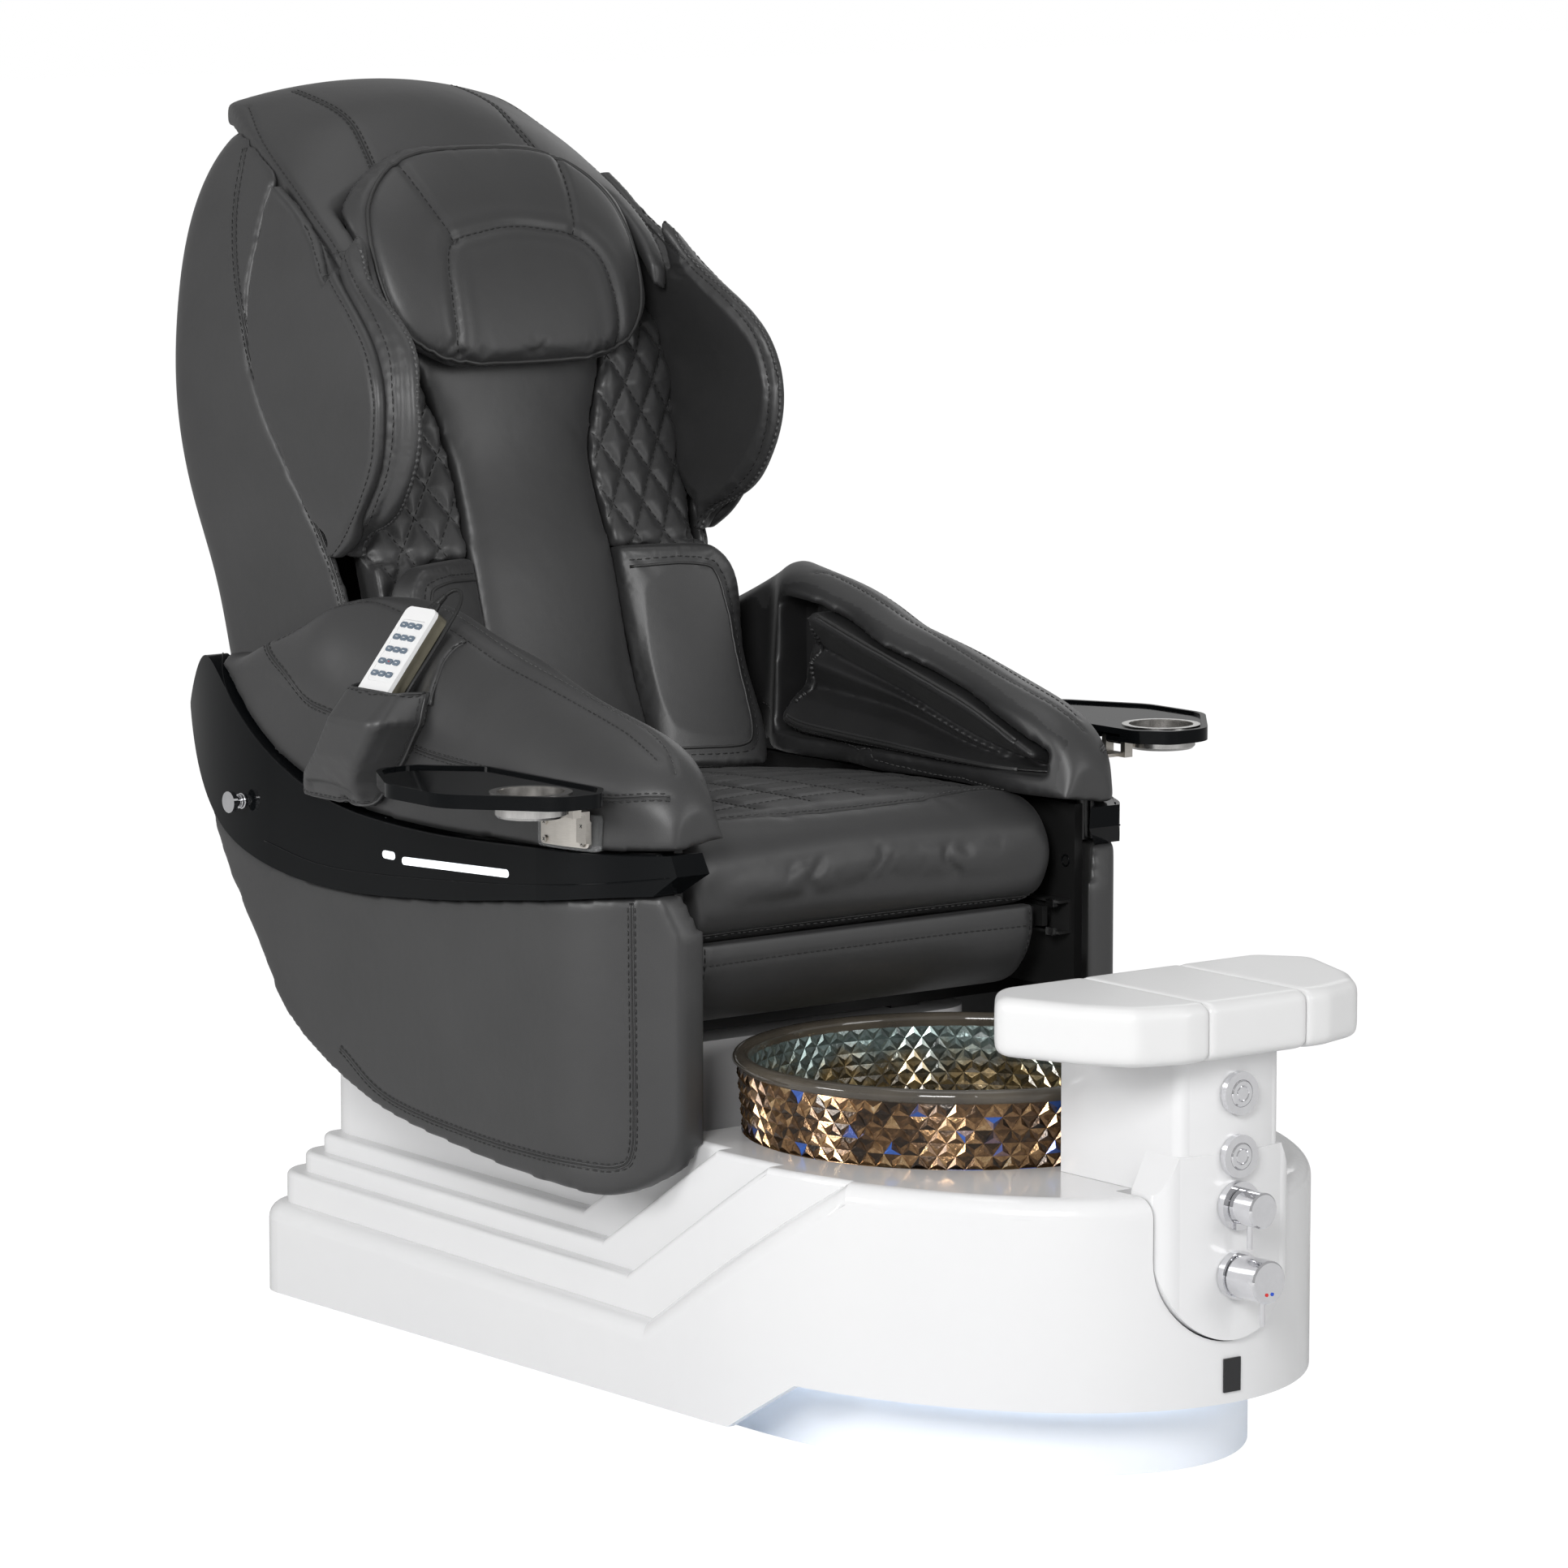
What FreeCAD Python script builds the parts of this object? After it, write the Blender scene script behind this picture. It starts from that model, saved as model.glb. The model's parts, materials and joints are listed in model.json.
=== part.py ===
import FreeCAD, Part
import math
import os
import Sketcher
from FreeCAD import Placement, Rotation, Vector

# A pedicure spa chair: white base with a foot bowl, a column with footrest and valves, a padded chair with
# arms, trays, handset, reclining back and hood. Millimetres, +Z up, the sitter faces -Y, the sitter's left
# is +X.
# The origin lies on the floor in the middle plane, under the chair.

doc = FreeCAD.newDocument("PedicureChair")

sizes = {
    # base shell
    "base_half_width": 345, "base_rear": 724, "base_nose": 700, "nose_centre": 190, "base_corner": 57,
    "base_wall": 10, "skirt_bottom": 22, "nose_bottom": 86, "notch_rear": 236, "notch_run": 105,
    "deck_height": 322, "ramp_slope": 0.64, "tier_inset": 20, "tier_round": 7, "skirt_round": 22,
    "skirt_height": 116, "skirt_rise": 13, "lower_tier": 158, "middle_tier": 183, "upper_tier": 206,
    "tier_rise": 10, "tier_rear_inset": 18, "riser_half_width": 262, "riser_front": 52, "riser_rear": 690,
    "riser_height": 400, "riser_corner": 60,
    # plinth, light strip, feet and chassis
    "plinth_half_width": 272, "plinth_front": 632, "plinth_rear": 650, "plinth_wall": 12, "pan_height": 88,
    "pan_thick": 6, "strip_width": 10, "strip_thick": 6, "foot_radius": 22, "foot_disc": 14, "foot_stem": 8,
    "foot_spread": 215, "foot_front": -330, "foot_rear": 590, "beam": 40, "post_spread": 180,
    "post_front": 120, "post_rear": 560, "chassis_top": 432, "fit_gap": 0.3,
    # bowl
    "bowl_y": -227, "bowl_rim_radius": 262, "bowl_top": 413, "bowl_wall": 11, "bowl_bottom": 262,
    "bowl_base_radius": 205, "bowl_deck_radius": 249, "bowl_gap": 2, "rim_height": 14, "rim_width": 17,
    "jet_rise": 74, "jet_reach": 234, "jet_flange": 16, "jet_stem": 10, "drain_radius": 38,
    "drain_flange": 3, "drain_pipe": 20, "drain_length": 120,
    # column and footrest
    "column_half_width": 74, "column_face": 706, "column_rear": 495, "column_bow": 12, "column_wall": 6,
    "column_corner": 14, "plate_half_width": 95, "plate_bottom": 158, "plate_depth": 66, "plate_gap": 2,
    "rest_top": 544, "rest_thick": 64, "rest_front": 741, "rest_rear": 516, "rest_seam": 71,
    "rest_half_width": 195, "rest_flare": 38, "rest_corner": 62, "rest_round": 11, "rest_gap": 1.2,
    "jet_button_height": 434, "drain_button_height": 364, "button_radius": 15,
    "bezel_radius": 24, "bezel_thick": 8, "button_proud": 1.5, "button_length": 22, "sliding_gap": 0.25,
    "flow_height": 309, "mixer_height": 231, "flow_radius": 20, "flow_length": 36, "mixer_radius": 24,
    "mixer_length": 46, "collar_radius": 27, "collar_thick": 9, "spindle_radius": 7, "pin_radius": 3.2,
    "pin_length": 26, "dot_radius": 2, "dot_thick": 0.8, "badge_width": 24, "badge_height": 38,
    "badge_thick": 2, "badge_centre": 118,
    # side panels, bands and inner panels
    "side_half_width": 390, "side_tip": 315, "tip_front": 122, "side_flat_front": 50, "side_flat_rear": 600,
    "side_tail": 340, "tail_rear": 842, "panel_thick": 25, "band_proud": 8, "band_thick": 22,
    "inner_panel": 290, "inner_thick": 12, "inner_front": -84, "inner_rear": 600, "inner_top": 655,
    "bar_height": 9, "bar_proud": 0.6, "bar_depth": 2, "hook_y": 658, "hook_height": 635,
    "hook_radius": 13, "hook_neck": 6.5, "hook_length": 14, "hook_disc": 6,
    # trays
    "tray_hinge_x": 408, "tray_hinge_y": -22, "tray_hinge_height": 718, "tray_top": 733, "tray_thick": 16,
    "tray_inner": 391, "tray_outer": 567, "tray_front": -108, "tray_rear": 215, "tray_lip": 5,
    "tray_recess": 3, "cup_x": 466, "cup_y": -35, "cup_radius": 41, "cup_rim": 47, "cup_depth": 27,
    "cup_wall": 1.2, "tray_pin": 4, "knuckle": 10, "knuckle_length": 26,
    # seat
    "seat_rear": 440, "seat_plate": 522, "seat_plate_thick": 12, "seat_half_width": 250,
    "channel_height": 40, "channel_depth": 18, "channel_wall": 3, "channel_middle": 520,
    "channel_front": -78, "channel_rear": 560, "roller_radius": 16.5, "running_gap": 0.4,
    "skirt_thick": 20, "skirt_half_width": 247.5,
    # back
    "pivot_y": 520, "pivot_height": 560, "pivot_x": 246, "pin_hinge": 8, "tube": 30, "frame_spread": 175,
    "shell_wall": 14, "pad_depth": 70, "bolster_outer": 262,
    "flap_thick": 34, "rack_spread": 80, "rack_width": 24, "rack_depth": 14, "rack_offset": 18,
    "carriage_low": 130, "pinion_radius": 15, "hood_thick": 26, "frame_lean": 14.56, "frame_foot_y": 590,
    "frame_length": 795, "actuator_drop": 38, "crank_pin": 6, "actuator_width": 60, "actuator_rod": 9,
    # handset
    "handset_width": 60, "handset_length": 160, "handset_thick": 20, "handset_x": 337, "handset_y": 347,
    "handset_z": 888, "handset_slope": 38.5, "key_width": 13, "key_height": 7.5, "key_pitch": 14.5,
    "key_row": 17, "key_proud": 1.6, "pocket_wall": 3, "cord_radius": 2.3, "cord_across": -8,
}

sheet = doc.addObject("Spreadsheet::Sheet", "Sizes")
for row, (name, value) in enumerate(sizes.items(), start=1):
    sheet.set("A%d" % row, name)
    sheet.set("B%d" % row, str(value))
    sheet.setAlias("B%d" % row, name)
doc.recompute()


class Size:
    """A length that carries its value and the spreadsheet expression behind it."""

    def __init__(self, value, text):
        self.value = float(value)
        self.text = text

    def __float__(self):
        return self.value

    def join(self, other, sign, swap=False):
        other = other if isinstance(other, Size) else Size(other, "(%r)" % float(other))
        a, b = (other, self) if swap else (self, other)
        value = {"+": a.value + b.value, "-": a.value - b.value, "*": a.value * b.value}.get(sign)
        if sign == "/":
            value = a.value / b.value
        return Size(value, "(%s %s %s)" % (a.text, sign, b.text))

    def __add__(self, other):
        return self.join(other, "+")

    def __radd__(self, other):
        return self.join(other, "+", True)

    def __sub__(self, other):
        return self.join(other, "-")

    def __rsub__(self, other):
        return self.join(other, "-", True)

    def __mul__(self, other):
        return self.join(other, "*")

    def __rmul__(self, other):
        return self.join(other, "*", True)

    def __truediv__(self, other):
        return self.join(other, "/")

    def __neg__(self):
        return self.join(0, "-", True)


class Sheet:
    """Named sizes of the spreadsheet, each read as a Size."""

    def __getattr__(self, name):
        return Size(sheet.get(name), "Sizes." + name)


s = Sheet()
parts = {}


def point(x, y, z):
    return Vector(float(x), float(y), float(z))


def keep(label, obj):
    obj.Label = label
    parts[label] = obj
    return obj


def bind(obj, **lengths):
    for name, length in lengths.items():
        if isinstance(length, Size):
            obj.setExpression(name, length.text)
        else:
            setattr(obj, name, length)


def place(obj, x=0, y=0, z=0, turn=None):
    obj.Placement = Placement(point(x, y, z), turn or Rotation())
    for axis, length in (("x", x), ("y", y), ("z", z)):
        if isinstance(length, Size):
            obj.setExpression("Placement.Base." + axis, length.text)
    return obj


def box(name, x, y, z, length, width, height):
    """Box from its low corner; lengths run along X, Y and Z."""
    obj = doc.addObject("Part::Box", name)
    bind(obj, Length=length, Width=width, Height=height)
    return place(obj, x, y, z)


turns = {"+Z": Rotation(), "+X": Rotation(Vector(0, 1, 0), 90), "-Y": Rotation(Vector(1, 0, 0), 90),
         "+Y": Rotation(Vector(1, 0, 0), -90), "-X": Rotation(Vector(0, 1, 0), -90)}


def cylinder(name, x, y, z, radius, height, axis="+Z"):
    obj = doc.addObject("Part::Cylinder", name)
    bind(obj, Radius=radius, Height=height)
    return place(obj, x, y, z, turns[axis])


def fuse(name, *pieces):
    obj = doc.addObject("Part::MultiFuse", name)
    obj.Shapes = list(pieces)
    return obj


def cut(name, base, tool):
    obj = doc.addObject("Part::Cut", name)
    obj.Base = base
    obj.Tool = tool
    return obj


def group(name, *pieces):
    obj = doc.addObject("Part::Compound", name)
    obj.Links = list(pieces)
    return obj


def mirrored(name, source):
    obj = doc.addObject("Part::Mirroring", name)
    obj.Source = source
    obj.Normal = Vector(1, 0, 0)
    return obj


def feature(label, shape):
    """Free-form or trimmed shape, kept as a piece."""
    obj = doc.addObject("Part::Feature", label)
    obj.Shape = shape
    return keep(label, obj)


def flip(shape):
    return shape.mirror(Vector(0, 0, 0), Vector(1, 0, 0))


# Wires and solids

def line(a, b):
    return Part.LineSegment(a, b).toShape()


def arc(a, b, c):
    return Part.Arc(a, b, c).toShape()


def polygon(points):
    return Part.makePolygon(points + points[:1])


def rounded(points, radii):
    """Closed polygon in one plane with an arc at each corner whose radius is above 0."""
    count = len(points)
    radii = radii if isinstance(radii, (list, tuple)) else [radii] * count
    corners = []
    for i, corner in enumerate(points):
        before = (points[i - 1] - corner).normalize()
        after = (points[(i + 1) % count] - corner).normalize()
        radius = float(radii[i])
        if radius <= 0:
            corners.append((corner, None, corner))
            continue
        half = before.getAngle(after) / 2
        reach = radius / math.tan(half)
        middle = (before + after).normalize() * (radius / math.sin(half) - radius)
        corners.append((corner + before * reach, corner + middle, corner + after * reach))
    edges = []
    for i, (start, middle, end) in enumerate(corners):
        if middle is not None:
            edges.append(arc(start, middle, end))
        following = corners[(i + 1) % count][0]
        if end.distanceToPoint(following) > 1e-6:
            edges.append(line(end, following))
    return Part.Wire(edges)


def curve(points):
    spline = Part.BSplineCurve()
    spline.interpolate(points)
    return spline.toShape()


def prism(wire, x, y, z):
    return Part.Face(wire).extrude(point(x, y, z))


def block(x0, y0, z0, x1, y1, z1):
    size = point(x1, y1, z1) - point(x0, y0, z0)
    return Part.makeBox(size.x, size.y, size.z, point(x0, y0, z0))


def rod(a, b, radius):
    return Part.makeCylinder(float(radius), (b - a).Length, a, b - a)


def loft(wires, ruled=False):
    return Part.makeLoft(wires, True, ruled)


def side(points):
    """Outline in the middle plane from (y, z) pairs."""
    return [point(0, y, z) for y, z in points]


# Base shell: stepped tiers, ramps up to the deck, riser under the seat

wide = 900.0


def base_plan(inset, z, rear_inset=0.0, half_width=None, nose=None, rear=None, corner=None):
    """Plan outline of the base at one inset: straight sides, rounded rear corners, half-ellipse nose."""
    half = float(half_width or s.base_half_width) - inset
    reach = float(nose or s.base_nose) - float(s.nose_centre) - inset
    end = float(rear or s.base_rear) - inset - rear_inset
    radius = max(float(corner or s.base_corner) - inset / 2, 12.0)
    front = -float(s.nose_centre)
    bend = radius * (1 - math.sqrt(0.5))
    ellipse = Part.Ellipse(Vector(0, front - reach, z), Vector(half, front, z), Vector(0, front, z))
    if ellipse.MajorRadius < reach - 1e-6:
        raise ValueError("the nose must be longer than half the base width")
    nose_edge = Part.ArcOfEllipse(ellipse, -math.pi / 2, math.pi / 2).toShape()
    a, b = nose_edge.Vertexes[0].Point, nose_edge.Vertexes[-1].Point
    left, right = (a, b) if a.x < b.x else (b, a)
    return Part.Wire([
        nose_edge,
        line(right, Vector(half, end - radius, z)),
        arc(Vector(half, end - radius, z), Vector(half - bend, end - bend, z), Vector(half - radius, end, z)),
        line(Vector(half - radius, end, z), Vector(-half + radius, end, z)),
        arc(Vector(-half + radius, end, z), Vector(-half + bend, end - bend, z),
            Vector(-half, end - radius, z)),
        line(Vector(-half, end - radius, z), left),
    ])


def tier_profile(height, rise, knee, drop):
    """Side outline of one tier: rear top, knee, ramp and deck, all lowered by drop."""
    deck = float(s.deck_height) - drop
    low = float(height) - drop
    slope = float(s.ramp_slope)
    top = knee - (deck - low) / slope
    return side([(wide, -10), (wide, low + float(rise) * (wide - knee) / 600), (knee, low), (top, deck),
                 (-wide, deck), (-wide, -10)])


tiers = [  # height at the knee, rise to the rear, inset, knee
    (s.skirt_height, s.skirt_rise, 0.0, -75.0, float(s.skirt_round)),
    (s.lower_tier, s.tier_rise, 1.0, -20.0, float(s.tier_round)),
    (s.middle_tier, s.tier_rise, 2.0, 54.0, float(s.tier_round)),
    (s.upper_tier, s.tier_rise, 3.0, 118.0, float(s.tier_round)),
]


def straight_across(edge):
    """True for a knee: a line along X on top of a tier."""
    bounds = edge.BoundBox
    return bounds.YLength < 1e-3 and bounds.ZLength < 1e-3 and bounds.YMax < float(s.base_rear) - 150


def tier(height, rise, order, knee, edge_round, shrink=0.0):
    """One tier as plan outline times side outline; shrink makes the hollow inside it."""
    inset = order * float(s.tier_inset) + shrink
    rear = order * (float(s.tier_rear_inset) - float(s.tier_inset))
    plan = prism(base_plan(inset, -20, rear), 0, 0, 900)
    rows = tier_profile(height, rise, knee - shrink * 0.6, shrink)
    profile = polygon([Vector(-wide, p.y, p.z) for p in rows])
    solid = plan.common(prism(profile, 2 * wide, 0, 0))
    if shrink:
        return solid
    low = float(height) - 4
    edges = [edge for edge in solid.Edges if edge.BoundBox.ZMin > low and not straight_across(edge)]
    return solid.makeFillet(edge_round, edges)


def riser(grow, top):
    half, front = float(s.riser_half_width) + grow, float(s.riser_front) - grow
    rear = float(s.riser_rear) + grow
    plan = [point(x, y, 150) for x, y in ((-half, front), (half, front), (half, rear), (-half, rear))]
    return prism(rounded(plan, float(s.riser_corner) + grow), 0, 0, float(top) - 150)


def rounded_column(grow, top, low, half, corner, rear, bow=None):
    """Plan rectangle of the column with a bowed face, as a prism."""
    half = float(half) + grow
    face, back = -float(s.column_face) - grow, -float(rear) + grow
    bow = float(s.column_bow if bow is None else bow)
    edge = face + bow
    c = max(float(corner) + grow, 1.0)
    b = c * (1 - math.sqrt(0.5))
    wire = Part.Wire([
        arc(point(-half + c, edge - bow * 0.15, low), point(0, face, low),
            point(half - c, edge - bow * 0.15, low)),
        arc(point(half - c, edge - bow * 0.15, low), point(half - b, edge - bow * 0.15 + b, low),
            point(half, edge - bow * 0.15 + c, low)),
        line(point(half, edge - bow * 0.15 + c, low), point(half, back, low)),
        line(point(half, back, low), point(-half, back, low)),
        line(point(-half, back, low), point(-half, edge - bow * 0.15 + c, low)),
        arc(point(-half, edge - bow * 0.15 + c, low), point(-half + b, edge - bow * 0.15 + b, low),
            point(-half + c, edge - bow * 0.15, low)),
    ])
    return prism(wire, 0, 0, float(top) - float(low))


def u_shape(grow, top):
    """Front outline of the column's plate: round at the bottom, straight up to the deck, cut along Y."""
    half = float(s.plate_half_width) + grow
    centre = float(s.plate_bottom) + float(s.plate_half_width)
    y = -wide
    wire = Part.Wire([
        arc(point(-half, y, centre), point(0, y, centre - half), point(half, y, centre)),
        line(point(half, y, centre), point(half, y, top)),
        line(point(half, y, top), point(-half, y, top)),
        line(point(-half, y, top), point(-half, y, centre)),
    ])
    return prism(wire, 0, wide - float(s.column_rear), 0)


skirt_line = side([(wide, -50), (wide, s.skirt_bottom), (-s.notch_rear, s.skirt_bottom),
                   (-s.notch_rear - s.notch_run, s.nose_bottom), (-wide, s.nose_bottom), (-wide, -50)])
below = prism(polygon([Vector(-wide, p.y, p.z) for p in skirt_line]), 2 * wide, 0, 0)
wall = float(s.base_wall)
bowl_centre = point(0, s.bowl_y, 0)
well_radius = float(s.bowl_deck_radius) + float(s.bowl_gap)


def well(radius, low, high):
    return Part.makeCylinder(radius, high - low, bowl_centre + Vector(0, 0, low))


post_places = [(x, float(y)) for x in (-float(s.post_spread), float(s.post_spread))
               for y in (s.post_front, s.post_rear)]
beam, gap = float(s.beam), float(s.fit_gap)
outside = tier(*tiers[0]).fuse([tier(*values) for values in tiers[1:]] + [riser(0, s.riser_height)])
hollow = tier(*tiers[0][:4], 0, wall).fuse([tier(*values[:4], 0, wall) for values in tiers[1:]]
                                           + [riser(-wall, float(s.riser_height) - wall)])
hollow = hollow.cut(well(well_radius + wall, float(s.bowl_bottom) - wall, wide))
base_shell = outside.cut(hollow).cut(below)
base_shell = base_shell.cut(well(well_radius, float(s.bowl_bottom), wide))
slot = u_shape(float(s.plate_gap), float(s.deck_height) + 50)
base_shell = base_shell.cut(slot.common(block(-wide, -wide, 0, wide, -float(s.column_face) + 90, wide)))
for x, y in post_places:
    half_hole = beam / 2 + 3
    base_shell = base_shell.cut(block(x - half_hole, y - half_hole, 300, x + half_hole, y + half_hole, 500))
drain_hole = float(s.drain_pipe) + 4
base_shell = base_shell.cut(well(drain_hole, 100, 300))
feature("base_shell", base_shell)

# Plinth: recessed wall under a flat pan, light strip and levelling feet


def plinth_plan(inset, z):
    return base_plan(inset, z, half_width=s.plinth_half_width, nose=s.plinth_front, rear=s.plinth_rear)


pan_top = float(s.pan_height) + float(s.pan_thick)
plinth = prism(plinth_plan(0, 0), 0, 0, float(s.pan_height))
plinth = plinth.cut(prism(plinth_plan(float(s.plinth_wall), -1), 0, 0, float(s.pan_height) + 1))
pan = prism(base_plan(wall + gap, float(s.pan_height)), 0, 0, float(s.pan_thick))
feature("plinth", plinth.fuse(pan))
strip_low = float(s.pan_height) - float(s.strip_thick)
strip = prism(plinth_plan(-float(s.strip_width) - gap, strip_low), 0, 0, float(s.strip_thick))
feature("led_strip", strip.cut(prism(plinth_plan(-gap, strip_low), 0, 0, float(s.strip_thick))))

feet = []
foot_places = [(x, y) for x in (-s.foot_spread, s.foot_spread) for y in (s.foot_front, s.foot_rear)]
foot_places.append((0, 0))
for number, (x, y) in enumerate(foot_places):
    disc = cylinder("foot_disc%d" % number, x, y, 0, s.foot_radius, s.foot_disc)
    stem = cylinder("foot_stem%d" % number, x, y, 0, s.foot_stem, s.pan_height)
    feet.append(fuse("foot%d" % number, disc, stem))
keep("levelling_feet", group("levelling_feet", *feet))

# Chassis: beams on the pan, posts through the riser, cross beams that carry the side panels

half_beam = s.beam / 2
pan_level = s.pan_height + s.pan_thick
cross_low = s.chassis_top - s.beam * 0.75
inner_side = s.side_half_width - s.panel_thick - s.fit_gap
frame_parts = []
for number, x in enumerate((-s.post_spread, s.post_spread)):
    frame_parts.append(box("sill%d" % number, x - half_beam, s.post_front - half_beam, pan_level,
                           s.beam, s.post_rear - s.post_front + s.beam, s.beam))
    for y in (s.post_front, s.post_rear):
        frame_parts.append(box("post%d" % len(frame_parts), x - half_beam, y - half_beam, pan_level,
                               s.beam, s.beam, s.chassis_top - pan_level))
for y in (s.post_front, s.post_rear):
    frame_parts.append(box("cross%d" % len(frame_parts), -inner_side, y - half_beam, cross_low,
                           2 * inner_side, s.beam, s.beam * 0.75))
keep("chassis", fuse("chassis", *frame_parts))


# Bodies with sketches

def body(label, x=0, y=0, z=0, turn=None):
    made = doc.addObject("PartDesign::Body", label)
    place(made, x, y, z, turn)
    return keep(label, made)


def sketch(owner, role):
    made = owner.newObject("Sketcher::SketchObject", owner.Label + "_" + role[:2].lower())
    plane = [item for item in owner.Origin.OriginFeatures if item.Role == role][0]
    made.AttachmentSupport = [(plane, "")]
    made.MapMode = "FlatFace"
    return made


def outline(drawing, points):
    """Closed polygon whose corners are held by distances from the sketch origin."""
    count = len(points)
    spots = [Vector(float(u), float(v), 0) for u, v in points]
    first = drawing.GeometryCount
    for i in range(count):
        drawing.addGeometry(Part.LineSegment(spots[i], spots[(i + 1) % count]), False)
    for i in range(count):
        drawing.addConstraint(Sketcher.Constraint("Coincident", first + i, 2, first + (i + 1) % count, 1))
    for i, (u, v) in enumerate(points):
        for kind, length, axis in (("DistanceX", u, -2), ("DistanceY", v, -1)):
            if abs(float(length)) < 1e-9:
                drawing.addConstraint(Sketcher.Constraint("PointOnObject", first + i, 1, axis))
                continue
            index = drawing.addConstraint(Sketcher.Constraint(kind, -1, 1, first + i, 1, float(length)))
            if isinstance(length, Size):
                drawing.setExpression("Constraints[%d]" % index, length.text)


def turned(label, points, x=0, y=0, z=0, turn=None):
    """Body of revolution about its own Z axis, from (radius, height) corners."""
    owner = body(label, x, y, z, turn)
    drawing = sketch(owner, "XZ_Plane")
    outline(drawing, points)
    spun = owner.newObject("PartDesign::Revolution", label + "_spun")
    spun.Profile = drawing
    spun.ReferenceAxis = (drawing, ["V_Axis"])
    spun.Angle = 360
    doc.recompute()
    return owner


# Bowl: thick glass with a rolled rim, dropped into the well of the deck

deck_on_bowl = s.deck_height - s.bowl_bottom
bowl_depth = s.bowl_top - s.bowl_bottom
floor_inner = s.bowl_wall
bowl = turned("bowl", [
    (s.drain_pipe + 3, 0), (s.bowl_base_radius, 0), (s.bowl_deck_radius - 3, deck_on_bowl * 0.75),
    (s.bowl_rim_radius - 8, bowl_depth - s.rim_height), (s.bowl_rim_radius, bowl_depth - s.rim_height * 0.6),
    (s.bowl_rim_radius, bowl_depth - 3), (s.bowl_rim_radius - 3, bowl_depth),
    (s.bowl_rim_radius - s.rim_width + 3, bowl_depth), (s.bowl_rim_radius - s.rim_width, bowl_depth - 3),
    (s.bowl_deck_radius - 3 - s.bowl_wall, deck_on_bowl * 0.75 + floor_inner),
    (s.bowl_base_radius - s.bowl_wall / 2, floor_inner), (s.drain_pipe + 3, floor_inner),
], 0, s.bowl_y, s.bowl_bottom)
jet_circle = sketch(bowl, "XZ_Plane")
jet_circle.addGeometry(Part.Circle(Vector(0, float(s.jet_rise), 0), Vector(0, 0, 1), s.jet_stem + 0.3), False)
jet_hole = bowl.newObject("PartDesign::Pocket", "bowl_jet_hole")
jet_hole.Profile = jet_circle
jet_hole.Type = 1
jet_hole.Reversed = True
doc.recompute()

turned("bowl_waste", [
    (0, floor_inner + s.drain_flange), (s.drain_radius, floor_inner + s.drain_flange - 1),
    (s.drain_radius, floor_inner + 0.1), (s.drain_pipe, floor_inner + 0.1), (s.drain_pipe, -s.drain_length),
    (s.drain_pipe - 2, -s.drain_length), (s.drain_pipe - 2, floor_inner - 3), (0, floor_inner - 3),
], 0, s.bowl_y, s.bowl_bottom)

# Column: hollow moulding with a U-shaped plate that lies in the slot of the base

plate_top = float(s.deck_height) + 46
column_low = float(s.plate_bottom)
column_top = float(s.rest_top) - float(s.rest_thick)
thin = float(s.column_wall)


def column_solid(grow):
    upper = rounded_column(grow, column_top + 0.0, column_low + 40, s.column_half_width, s.column_corner,
                           s.column_rear)
    flare = float(s.plate_half_width) - float(s.column_half_width)
    foot = rounded_column(grow, plate_top, 100, s.plate_half_width, s.column_corner + 8,
                          s.column_face - s.plate_depth)
    bevel = polygon([point(-200, -wide, plate_top - 2 * flare + grow), point(-200, -wide, plate_top + 200),
                     point(200, -wide, plate_top + 200), point(200, -wide, plate_top - 2 * flare + grow),
                     point(float(s.plate_half_width) + grow, -wide, plate_top - 2 * flare + grow),
                     point(float(s.column_half_width) + grow, -wide, plate_top),
                     point(-float(s.column_half_width) - grow, -wide, plate_top),
                     point(-float(s.plate_half_width) - grow, -wide, plate_top - 2 * flare + grow)])
    foot = foot.cut(prism(bevel, 0, wide, 0))
    trim = u_shape(grow, column_top + 100)
    return upper.fuse(foot).common(trim)


column = column_solid(0)
inside = column_solid(-thin).cut(block(-200, -wide, column_top - thin, 200, wide, wide))
column = column.cut(inside)
column = column.cut(block(-200, -float(s.column_face) + 90, 0, 200, -float(s.column_rear) + 1,
                          float(s.deck_height) + gap))
controls = [float(s.jet_button_height), float(s.drain_button_height)]
for height in controls:
    column = column.cut(rod(point(0, -wide, height), point(0, -600, height), float(s.button_radius) + 3))
for height in (float(s.flow_height), float(s.mixer_height)):
    column = column.cut(rod(point(0, -wide, height), point(0, -600, height), float(s.collar_radius) * 0.6))
spout_height = float(s.bowl_top) + 26
column = column.cut(rod(point(0, -600, spout_height), point(0, -400, spout_height), 13.5))
feature("column_shell", column)

# Footrest: one moulding outline cut into a centre and two ends


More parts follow.
